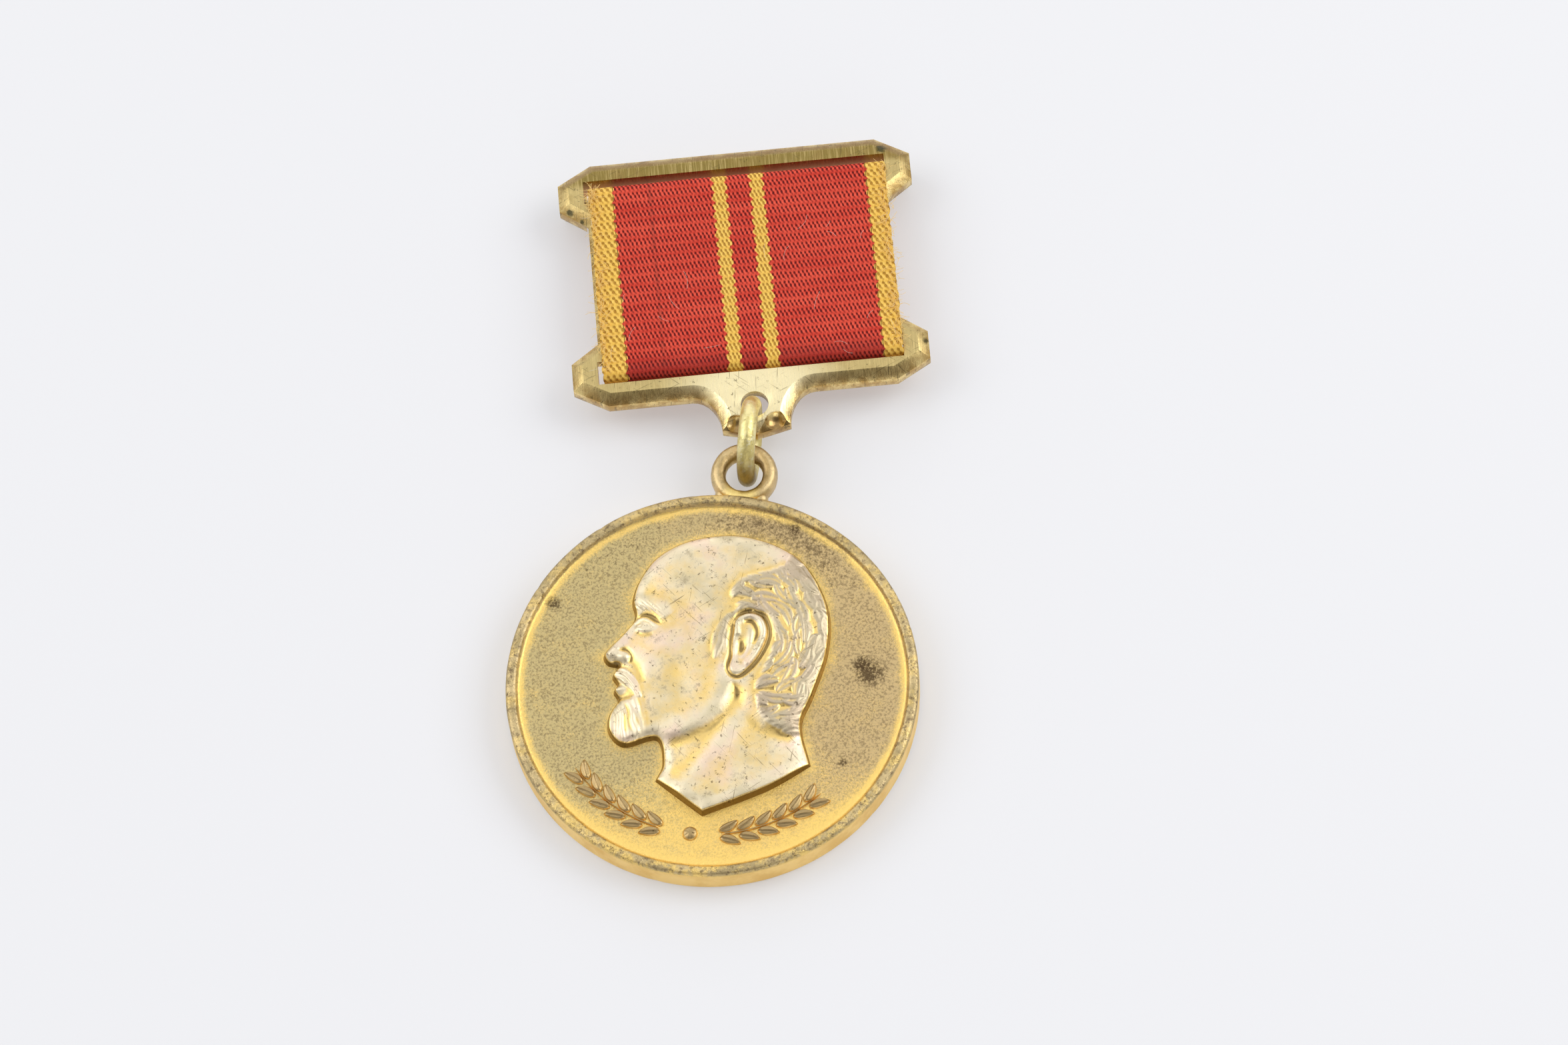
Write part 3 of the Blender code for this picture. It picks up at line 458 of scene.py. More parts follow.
def eyelet_finish():
    """Grained gilt worn olive, bright at the foot."""
    f = Finish("eyelet_gilt_grained")
    cloud = f.noise(0.9, 5.0, 0.65)
    foot = medal_spot(0.0, EYELET_Y - EYELET_MIDDLE_R, EYELET_Z + EYELET_HALF_T)
    tone = f.layers(
        EYELET_DULL,
        (EYELET_PALE, cloud, 0.38, 0.62),
        (WORN_GREY, f.noise(2.0, 5.0, 0.7), 0.50, 0.62, 0.6),
        (SOLDER_GOLD, f.near(foot, 1.8) * 0.8),
        (DARK_BROWN, f.noise(3.4, 6.0, 0.75), 0.60, 0.70, 0.7))
    return f.metal(tone, 0.22 + 0.16 * cloud, f.bump(f.noise(5.0, 5.0, 0.7), 0.05, 0.8))


# The brass and the steel

RING_GREEN = (0.74, 0.62, 0.24)
RING_PALE = (0.95, 0.84, 0.42)
RING_RUBBED_AND_PAINTED_GLINT = (0.95, 0.90, 0.64)
RING_SPECK = (0.15, 0.13, 0.045)
RING_LOW_END_PAINTED_SHADE = (0.22, 0.155, 0.05)


def ring_finish():
    """Greenish brass wire, rubbed and specked, its pale rubbed spots partly painted glints, with painted
    shade at its low end.
    """
    f = Finish("ring_brass_wire")
    cloud = f.noise(1.0, 4.0, 0.6)
    # Painted shade darkens the ring towards its low end, inside the eyelet.
    low_end = tuple(RING @ Vector((0.0, -2 * RING_R, 0.0)))
    tone = f.layers(
        RING_GREEN,
        (RING_PALE, cloud, 0.38, 0.62),
        # Pale spots, partly rubbed brass and partly painted glints.
        (RING_RUBBED_AND_PAINTED_GLINT, f.noise(2.2, 5.0, 0.7), 0.54, 0.64, 0.75),
        (RING_SPECK, f.noise(2.8, 6.0, 0.75), 0.59, 0.69, 0.75),
        (RING_LOW_END_PAINTED_SHADE, f.near(low_end, 3.4) * 0.7))
    return f.metal(tone, 0.30 + 0.18 * cloud, f.bump(f.noise(3.4, 5.0, 0.65), 0.06, 0.8))


PLATE_BRASS = (0.66, 0.51, 0.215)
NECK_PAINTED_HIGHLIGHT = (1.0, 0.87, 0.52)
TOP_BAR_OLIVE = (0.34, 0.245, 0.07)
BRUSHED_BRASS = (0.86, 0.67, 0.30)
BEVEL_PAINTED_DARK_REFLECTION = (0.54, 0.34, 0.11)
BEVEL_PAINTED_PALE_REFLECTION = (0.92, 0.71, 0.31)
FOLD_BROWN = (0.25, 0.13, 0.05)
HOLE_PAINTED_SHADE = (0.10, 0.06, 0.03)
SCOOP_PAINTED_SHADE = (0.30, 0.165, 0.06)
CLOUD_BROWN = (0.40, 0.265, 0.09)
PLATE_SPECK = (0.10, 0.075, 0.03)
SCRATCH_BROWN = (0.16, 0.12, 0.05)
OXIDE_GREEN = (0.045, 0.05, 0.028)
SLOT_WALL_PAINTED_LIGHT = (1.0, 0.70, 0.42)
PLATE_SCRATCHES = ((0.4, 0.68), (-0.7, 0.68), (1.5, 0.66))

# Places on the plate, with the reach of each oxide spot as the last number
TOP_BAR_Y = (43.8, 44.6)
NECK_SPOT = (5.25, 23.4, 3.2)
HOLE_SPOT = (5.25, 23.25, 2.7)
SCOOP_SPOTS = ((3.65, 21.45, 2.6), (6.85, 21.45, 2.6))
OXIDE_SPOTS = (
    (17.2, 45.1, 3.1, 0.55), (19.2, 27.6, 2.9, 0.35), (-7.6, 25.3, 2.9, 0.3),
    (18.9, 45.9, 2.8, 0.4), (-8.1, 42.1, 2.9, 0.4), (-7.2, 41.2, 2.8, 0.3),
)


def plate_finish():
    """Brushed brass: olive top bar, bevels painted dark with pale patches as painted reflections, a painted
    highlight on the neck, painted shade in the hole and the scoops, painted light on the slot walls,
    scratches and oxide spots.
    """
    f = Finish("plate_brass_brushed")
    face, slot_wall = f.attribute("face"), f.attribute("slot_wall")
    cloud = f.noise(0.35, 5.0, 0.65)
    brushed = f.noise(1.0, 3.0, 0.6, f.stretched((11.0, 0.35, 3.0)))
    ragged = f.noise(2.6, 6.0, 0.75)
    top_bar = f.step(f.axis(1) + (cloud - 0.5) * 1.2, *TOP_BAR_Y)
    neck = f.near(NECK_SPOT, 8.5)
    flat = f.layers(
        PLATE_BRASS,
        # Painted highlight: the neck is a paler brass.
        (NECK_PAINTED_HIGHLIGHT, neck),
        (TOP_BAR_OLIVE, top_bar),
        (BRUSHED_BRASS, brushed, 0.46, 0.72, 0.5 - 0.35 * neck))
    tone = f.layers(
        # Painted reflections: the bevels are dark, with pale patches.
        BEVEL_PAINTED_DARK_REFLECTION,
        (BEVEL_PAINTED_PALE_REFLECTION, f.noise(0.8, 5.0, 0.7), 0.40, 0.62),
        (flat, face),
        (FOLD_BROWN, face * (1.0 - face) * (0.5 + 1.8 * top_bar)),
        # Painted shade on the wall of the hole.
        (HOLE_PAINTED_SHADE, f.near(HOLE_SPOT, 1.7) * (1.0 - face)),
        # Painted shade in the two scoops beside the hole.
        *((SCOOP_PAINTED_SHADE, f.near(spot, 1.1) * 0.75) for spot in SCOOP_SPOTS),
        (CLOUD_BROWN, cloud, 0.54, 0.70, (1.0 - neck) * 0.5),
        (PLATE_SPECK, f.noise(2.4, 7.0, 0.75), 0.60, 0.67, 0.85),
        (SCRATCH_BROWN, f.scratches(0.4, PLATE_SCRATCHES).least(1.0) * 0.6),
        *((OXIDE_GREEN, f.near(spot, reach, ragged) * 0.85) for *spot, reach in OXIDE_SPOTS),
        # Painted light: the slots' outer walls are a pale, matt brass.
        (SLOT_WALL_PAINTED_LIGHT, slot_wall))
    rough = 0.17 + 0.16 * f.step(brushed, 0.3, 0.7) * face + 0.12 * cloud + 0.35 * slot_wall
    skin = f.bump(f.noise(2.2, 5.0, 0.65), 0.035, 0.5, f.bump(brushed, 0.014, 0.6))
    # The slot walls and the neck's face are made less metallic, so that their painted light shows.
    return f.metal(tone, rough, skin, 1.0 - 0.85 * slot_wall - 0.4 * neck * face)


PIN_DULL = (0.42, 0.32, 0.13)
PIN_PALE = (0.62, 0.48, 0.21)
PIN_SPECK = (0.09, 0.075, 0.04)
STEEL_DARK = (0.42, 0.42, 0.41)
STEEL_PALE = (0.60, 0.60, 0.585)
RUST = (0.22, 0.12, 0.06)


def pin_brass_finish():
    """Plain sheet brass, dull and a little stained."""
    f = Finish("pin_brass_sheet")
    cloud = f.noise(1.1, 5.0, 0.6)
    specks = f.noise(3.4, 5.0, 0.7)
    tone = f.layers(PIN_DULL, (PIN_PALE, cloud, 0.35, 0.65), (PIN_SPECK, specks, 0.60, 0.70, 0.7))
    return f.metal(tone, 0.34 + 0.2 * cloud, f.bump(f.noise(5.0, 4.0, 0.6), 0.015, 0.5))


def pin_steel_finish():
    """Drawn steel wire with streaks along it and a few rust specks."""
    f = Finish("pin_steel_drawn")
    drawn = f.noise(1.0, 3.0, 0.6, f.stretched((0.35, 9.0, 9.0)))
    tone = f.layers(STEEL_DARK, (STEEL_PALE, drawn), (RUST, f.noise(2.2, 5.0, 0.7), 0.64, 0.70, 0.6))
    return f.metal(tone, 0.24 + 0.18 * drawn, f.bump(drawn, 0.01, 0.5))


# The ribbon's weave: pitch of the ribs and of the threads, stripes by middle and half width, borders' edges
RIB = 0.85
SLANT = 1.0
THREAD = 0.34
STRIPES = ((-1.43, 0.53), (1.56, 0.52))
LEFT_BORDER = -9.95
RIGHT_BORDER = 10.32
DARK_STREAK_ACROSS = -7.0

RED_DEEP = (0.60, 0.040, 0.022)
RED_FADED = (0.80, 0.090, 0.050)
RED_PAINTED_HIGHLIGHT = (0.90, 0.145, 0.085)
RED_FOOT_PAINTED_SHADE = (0.28, 0.016, 0.012)
RED_PAINTED_SHADE = (0.13, 0.005, 0.007)
YELLOW_DEEP = (0.80, 0.46, 0.065)
YELLOW_PALE = (0.96, 0.62, 0.13)
YELLOW_PAINTED_HIGHLIGHT = (1.0, 0.70, 0.20)
YELLOW_PAINTED_SHADE = (0.42, 0.185, 0.02)
RIBBON_DARK_PATCH = (0.19, 0.030, 0.020)


def ribbon_finish():
    """Ribbed silk: red with yellow stripes and borders, its threads in slanted rows, with painted shade in
    the slits and towards the foot and painted highlights on the threads.
    """
    f = Finish("ribbon_silk_ribbed")

    def inside(distance):
        return f.step(distance, -0.05, 0.05)

    across = f.attribute("across") + (f.noise(1.6, 2.0) - 0.5) * 0.16
    along = f.attribute("along") + (f.noise(0.9, 2.0, 0.5, f.stretched((1.0, 1.0, 1.0), 0.9)) - 0.5) * 0.22
    row = (along / RIB).floor()
    phase = along / RIB - row
    bulge = (phase * pi).sine()
    odd = row - 2.0 * (row * 0.5).floor()
    border = inside(LEFT_BORDER - across).most(inside(across - RIGHT_BORDER))
    threads = (across / THREAD + odd * 0.5) * (1.0 - 0.29 * border)
    lean = ((threads + phase * SLANT) * (2 * pi)).sine()
    cross = ((threads - phase * (1.5 * SLANT)) * (2 * pi)).sine()
    tooth = 0.5 + 0.37 * lean + 0.16 * cross
    scallop = (bulge - 0.6) * 0.24 + (tooth - 0.5) * 0.10
    yellow = inside(LEFT_BORDER - across + scallop).most(inside(across - RIGHT_BORDER + scallop))
    for middle, half in STRIPES:
        yellow = yellow.most(inside(half - abs(across - middle) + scallop))
    fade = f.noise(1.0, 4.0, 0.65, f.stretched((0.12, 0.9, 0.3)))
    fibre = f.noise(1.0, 3.0, 0.65, f.stretched((14.0, 2.2, 8.0)))
    bar = f.step(bulge, 0.62, 0.12)
    # Painted shade: the weave's slits, and gaps in the bars between the rows, are darkened.
    recess = f.step(tooth, 0.56, 0.08) * (1.0 - bar)
    shade = recess.most(bar * (0.04 + 0.46 * f.step(tooth, 0.50, 0.10)))
    # Painted highlight: the raised threads between the slits are lightened.
    thread_highlight = f.step(tooth, 0.55, 1.0) * (1.0 - bar)
    # Painted shade, darker towards the ribbon's foot where it bends into the low slot.
    foot_y = PLATE.y + RIBBON_SHIFT.y - RIBBON_HALF
    red = f.layers(
        RED_DEEP,
        (RED_FADED, fade + (fibre - 0.5) * 0.9, 0.30, 0.72),
        (RED_PAINTED_HIGHLIGHT, thread_highlight * 0.5),
        (RED_FOOT_PAINTED_SHADE, f.axis(1), foot_y + 1.9, foot_y + 0.3, 0.6),
        (RED_PAINTED_SHADE, shade))
    gold = f.layers(
        YELLOW_DEEP,
        (YELLOW_PALE, fibre, 0.28, 0.72),
        (YELLOW_PAINTED_HIGHLIGHT, thread_highlight * 0.4),
        (YELLOW_PAINTED_SHADE, shade * 0.85))
    # Darker patches, and a darker streak along the ribbon.
    dark_streak = f.step(abs(across - DARK_STREAK_ACROSS), 0.26, 0.08) * f.step(fade, 0.36, 0.56)
    dark_patches = f.step(f.noise(1.1, 5.0, 0.7), 0.60, 0.72).most(dark_streak)
    tone = f.layers(red, (gold, yellow), (RIBBON_DARK_PATCH, dark_patches * 0.35))
    hairs = f.bump(fibre, 0.018, 0.6, f.bump(bar * 0.1 - recess, 0.11, 0.9))
    return f.set(Base_Color=tone, Roughness=0.75, Specular_IOR_Level=0.22, Normal=hairs)


def fibre_finish(name, colour):
    f = Finish(name)
    tone = f.mix(colour, tuple(min(1.0, c * 1.25) for c in colour), f.noise(2.0, 2.0))
    return f.set(Base_Color=tone, Roughness=0.6)


# The struck head: a general face on the usual canon, in thousandths of its height, chin at 0, crown at 1000

PROFILE = [
    (40, 1000), (-190, 962), (-345, 862), (-418, 735), (-436, 625), (-413, 545), (-455, 455),
    (-514, 370), (-528, 336), (-505, 305), (-455, 293), (-474, 245), (-446, 205), (-458, 170),
    (-432, 125), (-462, 55), (-452, -30), (-375, -85), (-235, -35), (-190, -150), (-210, -235),
    (20, -375), (290, -225), (470, -85), (405, 100), (438, 250), (478, 480), (445, 700), (290, 915),
]
NECK_CUT = (20, 21, 23)
OUTLINE_STEPS = 8
HAIRLINE = [
    (300, 1050), (220, 875), (60, 800), (-5, 700), (30, 620), (-35, 555), (-52, 460), (-35, 360),
    (12, 370), (45, 470), (75, 570), (160, 600), (215, 520), (200, 370), (165, 250), (200, 120),
    (300, 45), (440, 40), (700, 240), (700, 900),
]
BEARD = [
    (-560, 135), (-470, 142), (-405, 135), (-365, 165), (-325, 155), (-300, 85), (-280, 0), (-300, -60),
    (-360, -160), (-560, -160),
]
MOUSTACHE = [
    (-560, 270), (-455, 290), (-400, 272), (-350, 218), (-322, 150), (-350, 135), (-395, 178),
    (-455, 200), (-560, 205),
]
MOUSTACHE_SIDE = [
    (-600, 265), (-500, 265), (-430, 252), (-375, 205), (-335, 150), (-300, 100), (-600, 100),
]
EAR = [
    (55, 565), (105, 600), (165, 585), (195, 515), (175, 420), (135, 345), (90, 300), (55, 325),
    (60, 400), (50, 480),
]
UNDER_JAW = [
    (60, 270), (15, 135), (-100, 30), (-240, -30), (-400, -90), (-400, -500), (600, -500), (600, 50),
    (250, 100), (150, 250),
]

# Soft swellings and hollows: height, middle (two) and half widths (two) in heads, turn
SWELLS = [
    (0.07, -0.27, 0.76, 0.17, 0.13, 0.3), (0.05, -0.09, 0.8, 0.16, 0.13, 0.0),
    (-0.05, -0.19, 0.59, 0.06, 0.08, 0.2), (-0.17, -0.362, 0.522, 0.075, 0.036, -0.12),
    (-0.11, -0.412, 0.512, 0.022, 0.05, 0.0), (0.17, -0.372, 0.5, 0.034, 0.03, 0.0),
    (0.06, -0.33, 0.498, 0.04, 0.022, 0.0), (0.15, -0.5, 0.338, 0.03, 0.028, 0.2),
    (0.2, -0.443, 0.332, 0.032, 0.028, 0.3), (-0.16, -0.472, 0.308, 0.022, 0.008, -0.15),
    (0.12, -0.255, 0.425, 0.1, 0.06, 0.35), (-0.11, -0.2, 0.245, 0.085, 0.1, 0.3),
    (0.07, -0.31, 0.31, 0.05, 0.07, 0.4), (0.11, -0.44, 0.178, 0.032, 0.014, 0.1),
    (-0.1, -0.425, 0.14, 0.04, 0.015, 0.1), (-0.18, 0.088, 0.435, 0.026, 0.045, 0.1),
    (0.09, 0.06, 0.425, 0.014, 0.028, 0.0), (0.05, 0.085, 0.325, 0.025, 0.02, 0.0),
]

# Ridges and creases: height, half width, how the start and the end fade (1) or not (0), line
RIDGES = [
    (0.11, 0.035, 1, 1, [(-435, 595), (-385, 615), (-310, 600), (-255, 555)]),
    (0.085, 0.0085, 0, 1, [(-409, 513), (-392, 529), (-362, 530), (-328, 512), (-300, 489)]),
    (-0.06, 0.008, 1, 1, [(-404, 533), (-378, 551), (-335, 543), (-288, 508)]),
    (0.06, 0.008, 0, 1, [(-396, 482), (-376, 473), (-345, 475), (-306, 488)]),
    (-0.045, 0.011, 1, 1, [(-400, 466), (-365, 450), (-318, 458)]),
    (-0.05, 0.0045, 0, 1, [(-399, 503), (-386, 508), (-377, 500), (-385, 490), (-397, 489)]),
    (0.15, 0.030, 0, 0, [(-425, 560), (-437, 500), (-476, 420), (-505, 360)]),
    (-0.12, 0.012, 1, 1, [(-470, 366), (-432, 368), (-404, 343), (-408, 302)]),
    (-0.06, 0.017, 1, 1, [(-405, 335), (-365, 285), (-330, 215)]),
    (0.09, 0.05, 0, 0, [(30, 300), (0, 150), (-100, 55), (-240, 0), (-330, -50)]),
    (0.10, 0.013, 0, 0, [(65, 500), (60, 555), (105, 587), (160, 572), (182, 510), (165, 425), (130, 360)]),
    (-0.13, 0.014, 1, 1, [(85, 555), (125, 562), (152, 515), (140, 450)]),
    (0.06, 0.012, 1, 1, [(120, 530), (128, 470), (112, 400), (90, 375)]),
]
NECK_RIDGES = [
    (0.15, 0.055, 0, 0, [(190, 220), (100, 30), (-10, -150), (-100, -300)]),
    (-0.05, 0.035, 1, 1, [(60, 100), (-20, -50), (-100, -190)]),
    (0.06, 0.03, 0, 0, [(-200, -60), (-170, -140), (-190, -220)]),
]
EAR_X, EAR_Y = 0.10, 0.50
EYEBROW = (1.0, 0.015, 1, 1, [(-438, 580), (-390, 592), (-320, 578), (-275, 545)])
MOUSTACHE_LINE = [(-500, 265), (-430, 252), (-375, 205), (-335, 150)]


def smooth_curve(points, steps=6, corners=(), closed=True):
    """A curve in heads through points in thousandths, sharp at the corners."""
    points = np.array(points) / 1000
    count = len(points)
    curve = []
    for index in range(count if closed else count - 1):
        around = range(index - 1, index + 3)
        p0, p1, p2, p3 = (points[k % count if closed else min(max(k, 0), count - 1)] for k in around)
        out = (p2 - p1) if index in corners else (p2 - p0) / 2
        into = (p2 - p1) if (index + 1) % count in corners else (p3 - p1) / 2
        for step in range(steps):
            t = step / steps
            curve.append((2 * t**3 - 3 * t**2 + 1) * p1 + (t**3 - 2 * t**2 + t) * out
                         + (3 * t**2 - 2 * t**3) * p2 + (t**3 - t**2) * into)
    return np.array(curve if closed else curve + [points[-1]])


def line_distance(x, y, line):
    """The distance from an open line, and how far along it that is, 0 to 1."""
    nearest = np.full(x.shape, np.inf)
    along = np.zeros(x.shape)
    for index, ((ax, ay), (bx, by)) in enumerate(zip(line, line[1:])):
        dx, dy = bx - ax, by - ay
        t = np.clip(((x - ax) * dx + (y - ay) * dy) / (dx * dx + dy * dy), 0.0, 1.0)
        square = (x - ax - t * dx) ** 2 + (y - ay - t * dy) ** 2
        closer = square < nearest
        nearest = np.where(closer, square, nearest)
        along = np.where(closer, (index + t) / (len(line) - 1), along)
    return np.sqrt(nearest), along


def signed_distance(x, y, points, steps=6, corners=()):
    """The distance inside a closed curve through points, negative outside."""
    loop = smooth_curve(points, steps, corners)
    inside = np.zeros(x.shape, bool)
    for (ax, ay), (bx, by) in zip(loop, np.roll(loop, -1, axis=0)):
        crosses = (ay > y) != (by > y)
        inside ^= crosses & (x < ax + (y - ay) * (bx - ax) / (by - ay if by != ay else 1e-12))
    nearest, _ = line_distance(x, y, np.concatenate([loop, loop[:1]]))
    return np.where(inside, nearest, -nearest)


def soft_distance(x, y, line):
    """A distance from a line, smooth over the middle of what it surrounds."""
    total = np.zeros(x.shape)
    for first, second in zip(line, line[1:]):
        for share in (0.25, 0.75):
            spot = first + share * (second - first)
            near = np.maximum((x - spot[0]) ** 2 + (y - spot[1]) ** 2, 1e-4)
            total += 0.5 * np.linalg.norm(second - first) / near**1.5
    return np.sqrt(2.0 / total)


def swell(x, y, middle_x, middle_y, half_u, half_v, turn):
    """A soft round swelling of height 1."""
    dx, dy = x - middle_x, y - middle_y
    u = (dx * cos(turn) + dy * sin(turn)) / half_u
    v = (dy * cos(turn) - dx * sin(turn)) / half_v
    return np.exp(-(u * u + v * v))


def ridge(x, y, amount, width, fade_in, fade_out, points):
    """A soft ridge or crease along a curve, worked out only close to it."""
    line = smooth_curve(points, closed=False)
    reach = 3.2 * width
    close = (x > line[:, 0].min() - reach) & (x < line[:, 0].max() + reach)
    close &= (y > line[:, 1].min() - reach) & (y < line[:, 1].max() + reach)
    away, along = line_distance(x[close], y[close], line)
    height = np.exp(-((away / width) ** 2))
    if fade_in:
        height = height * np.clip(4 * along, 0.0, 1.0) ** 0.7
    if fade_out:
        height = height * np.clip(4 * (1 - along), 0.0, 1.0) ** 0.7
    result = np.zeros(x.shape)
    result[close] = amount * height
    return result


def rise(distance, width):
    """A smooth step from 0 to 1 as a distance goes from 0 to a width."""
    t = np.clip(distance / width, 0.0, 1.0)
    return t * t * (3 - 2 * t)


def quarter_round(t):
    """A rise from 0 to 1 along a quarter of a circle."""
    return np.sqrt(np.clip(1.0 - (1.0 - np.clip(t, 0.0, 1.0)) ** 2, 0.0, 1.0))


def wobble(x, y, seed, scale):
    """A slow uneven wave between -1 and 1."""
    draws = np.random.default_rng(seed)
    total = np.zeros(x.shape)
    for _ in range(6):
        heading = draws.uniform(0, 2 * pi)
        pace = scale * draws.uniform(0.6, 1.6)
        start = draws.uniform(0, 2 * pi)
        total += np.sin((x * cos(heading) + y * sin(heading)) * pace + start)
    return total / 6


def hair_height(x, y):
    """Short wavy locks that sweep round the ear to the nape, and a straight sideburn."""
    cover = rise(signed_distance(x, y, HAIRLINE) + 0.01 * wobble(x, y, 3, 60), 0.035)
    draws = np.random.default_rng(23)
    height = np.zeros(x.shape)
    for row in range(13):
        for column in range(8):
            cx = -0.03 + 0.074 * (column + 0.5 * (row % 2)) + draws.uniform(-0.018, 0.018)
            cy = 0.92 - 0.072 * row + draws.uniform(-0.016, 0.016)
            heading = atan2(cy - EAR_Y, cx - EAR_X) - pi / 2 + draws.uniform(-0.5, 0.5)
            length, width = draws.uniform(0.062, 0.088), draws.uniform(0.030, 0.042)
            bend = draws.choice((-1, 1)) * draws.uniform(2.0, 5.0)
            near = (np.abs(x - cx) < 0.1) & (np.abs(y - cy) < 0.1)
            dx, dy = x[near] - cx, y[near] - cy
            u = dx * cos(heading) + dy * sin(heading)
            v = dy * cos(heading) - dx * sin(heading) - bend * u * u
            taper = np.clip(1 - (u / length) ** 2, 0.0, 1.0) * (1 - 0.3 * u / length)
            across = v / (width * np.maximum(taper, 0.05) ** 0.6)
            body = np.sqrt(np.clip(1 - across**2, 0.0, 1.0)) * np.minimum(1.0, 2.5 * taper)
            strands = 0.80 + 0.20 * np.cos(across * 7.5 + draws.uniform(0, 6.28))
            lock = body * strands * draws.uniform(0.75, 1.0)
            height[near] = np.maximum(height[near], lock)
    burn = rise(0.055 - x, 0.03) * rise(0.635 - y, 0.06)
    fall = np.sin((x - 0.12 * y + 0.008 * wobble(x, y, 15, 60)) * 168 + 2.2 * wobble(x, y, 12, 24))
    return cover, cover * ((0.03 + 0.14 * height) * (1 - burn) + (0.10 + 0.03 * fall) * burn)


def beard_height(x, y):
    """The chin's beard, strands down and back, and the moustache along its sweep."""
    beard = rise(signed_distance(x, y, BEARD), 0.035)
    fall = x + 0.35 * (y + 0.05) + 0.012 * wobble(x, y, 5, 40)
    strands = 0.045 * np.sin(fall * 95 + 2.0 * wobble(x, y, 6, 25))
    strands += 0.028 * np.sin(fall * 210 + 3 * wobble(x, y, 7, 30))
    moustache = rise(signed_distance(x, y, MOUSTACHE), 0.02)
    _, along = line_distance(x, y, smooth_curve(MOUSTACHE_LINE, closed=False))
    side = signed_distance(x, y, MOUSTACHE_SIDE, 4)
    sweep = 0.045 * np.sin(side * 260 + 2.5 * along + wobble(x, y, 8, 40)) + 0.02 * np.sin(side * 520)
    return beard * (0.11 + strands) + moustache * (0.13 + sweep)


def head_height(x, y):
    """The height over the head's edge, the depth inside its outline and the hair's cover, all in heads."""
    outline = smooth_curve(PROFILE, OUTLINE_STEPS, NECK_CUT)
    cut_start, cut_end = OUTLINE_STEPS * NECK_CUT[0], OUTLINE_STEPS * NECK_CUT[-1]
    free_edge = np.concatenate([outline[cut_end:], outline[:cut_start + 1]])
    depth = signed_distance(x, y, PROFILE, OUTLINE_STEPS, NECK_CUT)
    h = 0.20 * quarter_round(depth / 0.05) + 0.58 * quarter_round(soft_distance(x, y, free_edge) / 0.36)
    for amount, *shape in SWELLS:
        h += amount * swell(x, y, *shape)
    for shape in RIDGES:
        h += ridge(x, y, *shape)
    neck = rise(signed_distance(x, y, UNDER_JAW), 0.07)
    h += neck * (sum(ridge(x, y, *shape) for shape in NECK_RIDGES) - 0.24)
    cover, locks = hair_height(x, y)
    h += locks + beard_height(x, y)
    h += ridge(x, y, *EYEBROW) * (0.05 + 0.035 * np.sin((x * 0.8 + y) * 330))
    ear = signed_distance(x, y, EAR, 8)
    h += 0.10 * rise(ear + 0.006, 0.012) - 0.10 * rise(-ear, 0.012) * rise(ear + 0.035, 0.02)
    return h, depth, cover


def blurred(values, cells):
    """A running mean over a square of cells, both ways."""
    for axis in (0, 1):
        padded = np.concatenate([np.repeat(np.take(values, [0], axis), cells, axis), values,
                                 np.repeat(np.take(values, [-1], axis), cells + 1, axis)], axis)
        total = np.cumsum(padded, axis)
        size = values.shape[axis]
        ahead = np.take(total, range(2 * cells, 2 * cells + size), axis)
        behind = np.take(total, range(size), axis)
        values = (ahead - behind) / (2 * cells)
    return values


HEAD_SUNK = 0.06
HEAD_TRIM = 0.20


def make_head():
    """The struck head: a fine grid over the field, trimmed just outside the outline."""
    columns, rows = ((352, 436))
    bm, u, v = grid(columns, rows)
    x = u * 0.575 - 0.025
    y = v * 0.715 + 0.315
    h, depth, cover = head_height(x, y)
    wall = rise(depth * HEAD_H + 0.14, 0.22)
    z = FIELD_Z - HEAD_SUNK + (HEAD_SUNK + RELIEF_EDGE_H + RELIEF_H * h) * wall
    sheet = z.reshape(rows + 1, columns + 1)
    cells = max(2, columns // 36)
    broad = blurred(blurred(sheet, cells), cells)
    wear = np.clip(0.55 + (sheet - broad).ravel() / 0.16, 0.0, 1.0) * rise(depth * HEAD_H - 0.02, 0.25)
    move_to(bm, x * HEAD_H + HEAD_X, y * HEAD_H + CHIN_Y, z)
    kept = depth * HEAD_H > -HEAD_TRIM
    doomed = [vert for vert, keep in zip(list(bm.verts), kept) if not keep]
    bmesh.ops.delete(bm, geom=doomed, context="VERTS")
    head = piece("struck_head", bm, MEDAL, struck_head_finish(), "medal", smooth_angle=180.0)
    paint(head, "wear", wear[kept])
    paint(head, "hair", cover[kept])


# The disc's worn rims, radius and height, from the field out and from the side to the reverse
RIM_FRONT = [
    (14.72, FIELD_Z), (14.90, 2.058), (15.02, 2.10), (15.12, 2.20), (15.20, 2.34), (15.28, 2.42),
    (15.40, RIM_Z), (15.58, 2.455), (15.76, 2.435), (15.88, 2.38), (15.96, 2.29), (DISC_R, 2.16),
]
RIM_BACK = [
    (15.96, -0.07), (15.88, -0.15), (15.76, -0.19), (15.60, FOOT_Z), (15.36, FOOT_Z), (15.22, -0.17),
    (15.12, -0.11), (15.04, -0.04), (14.95, 0.0),
]
RIM_R = 15.0
RIM_FOOT_Z = 2.1


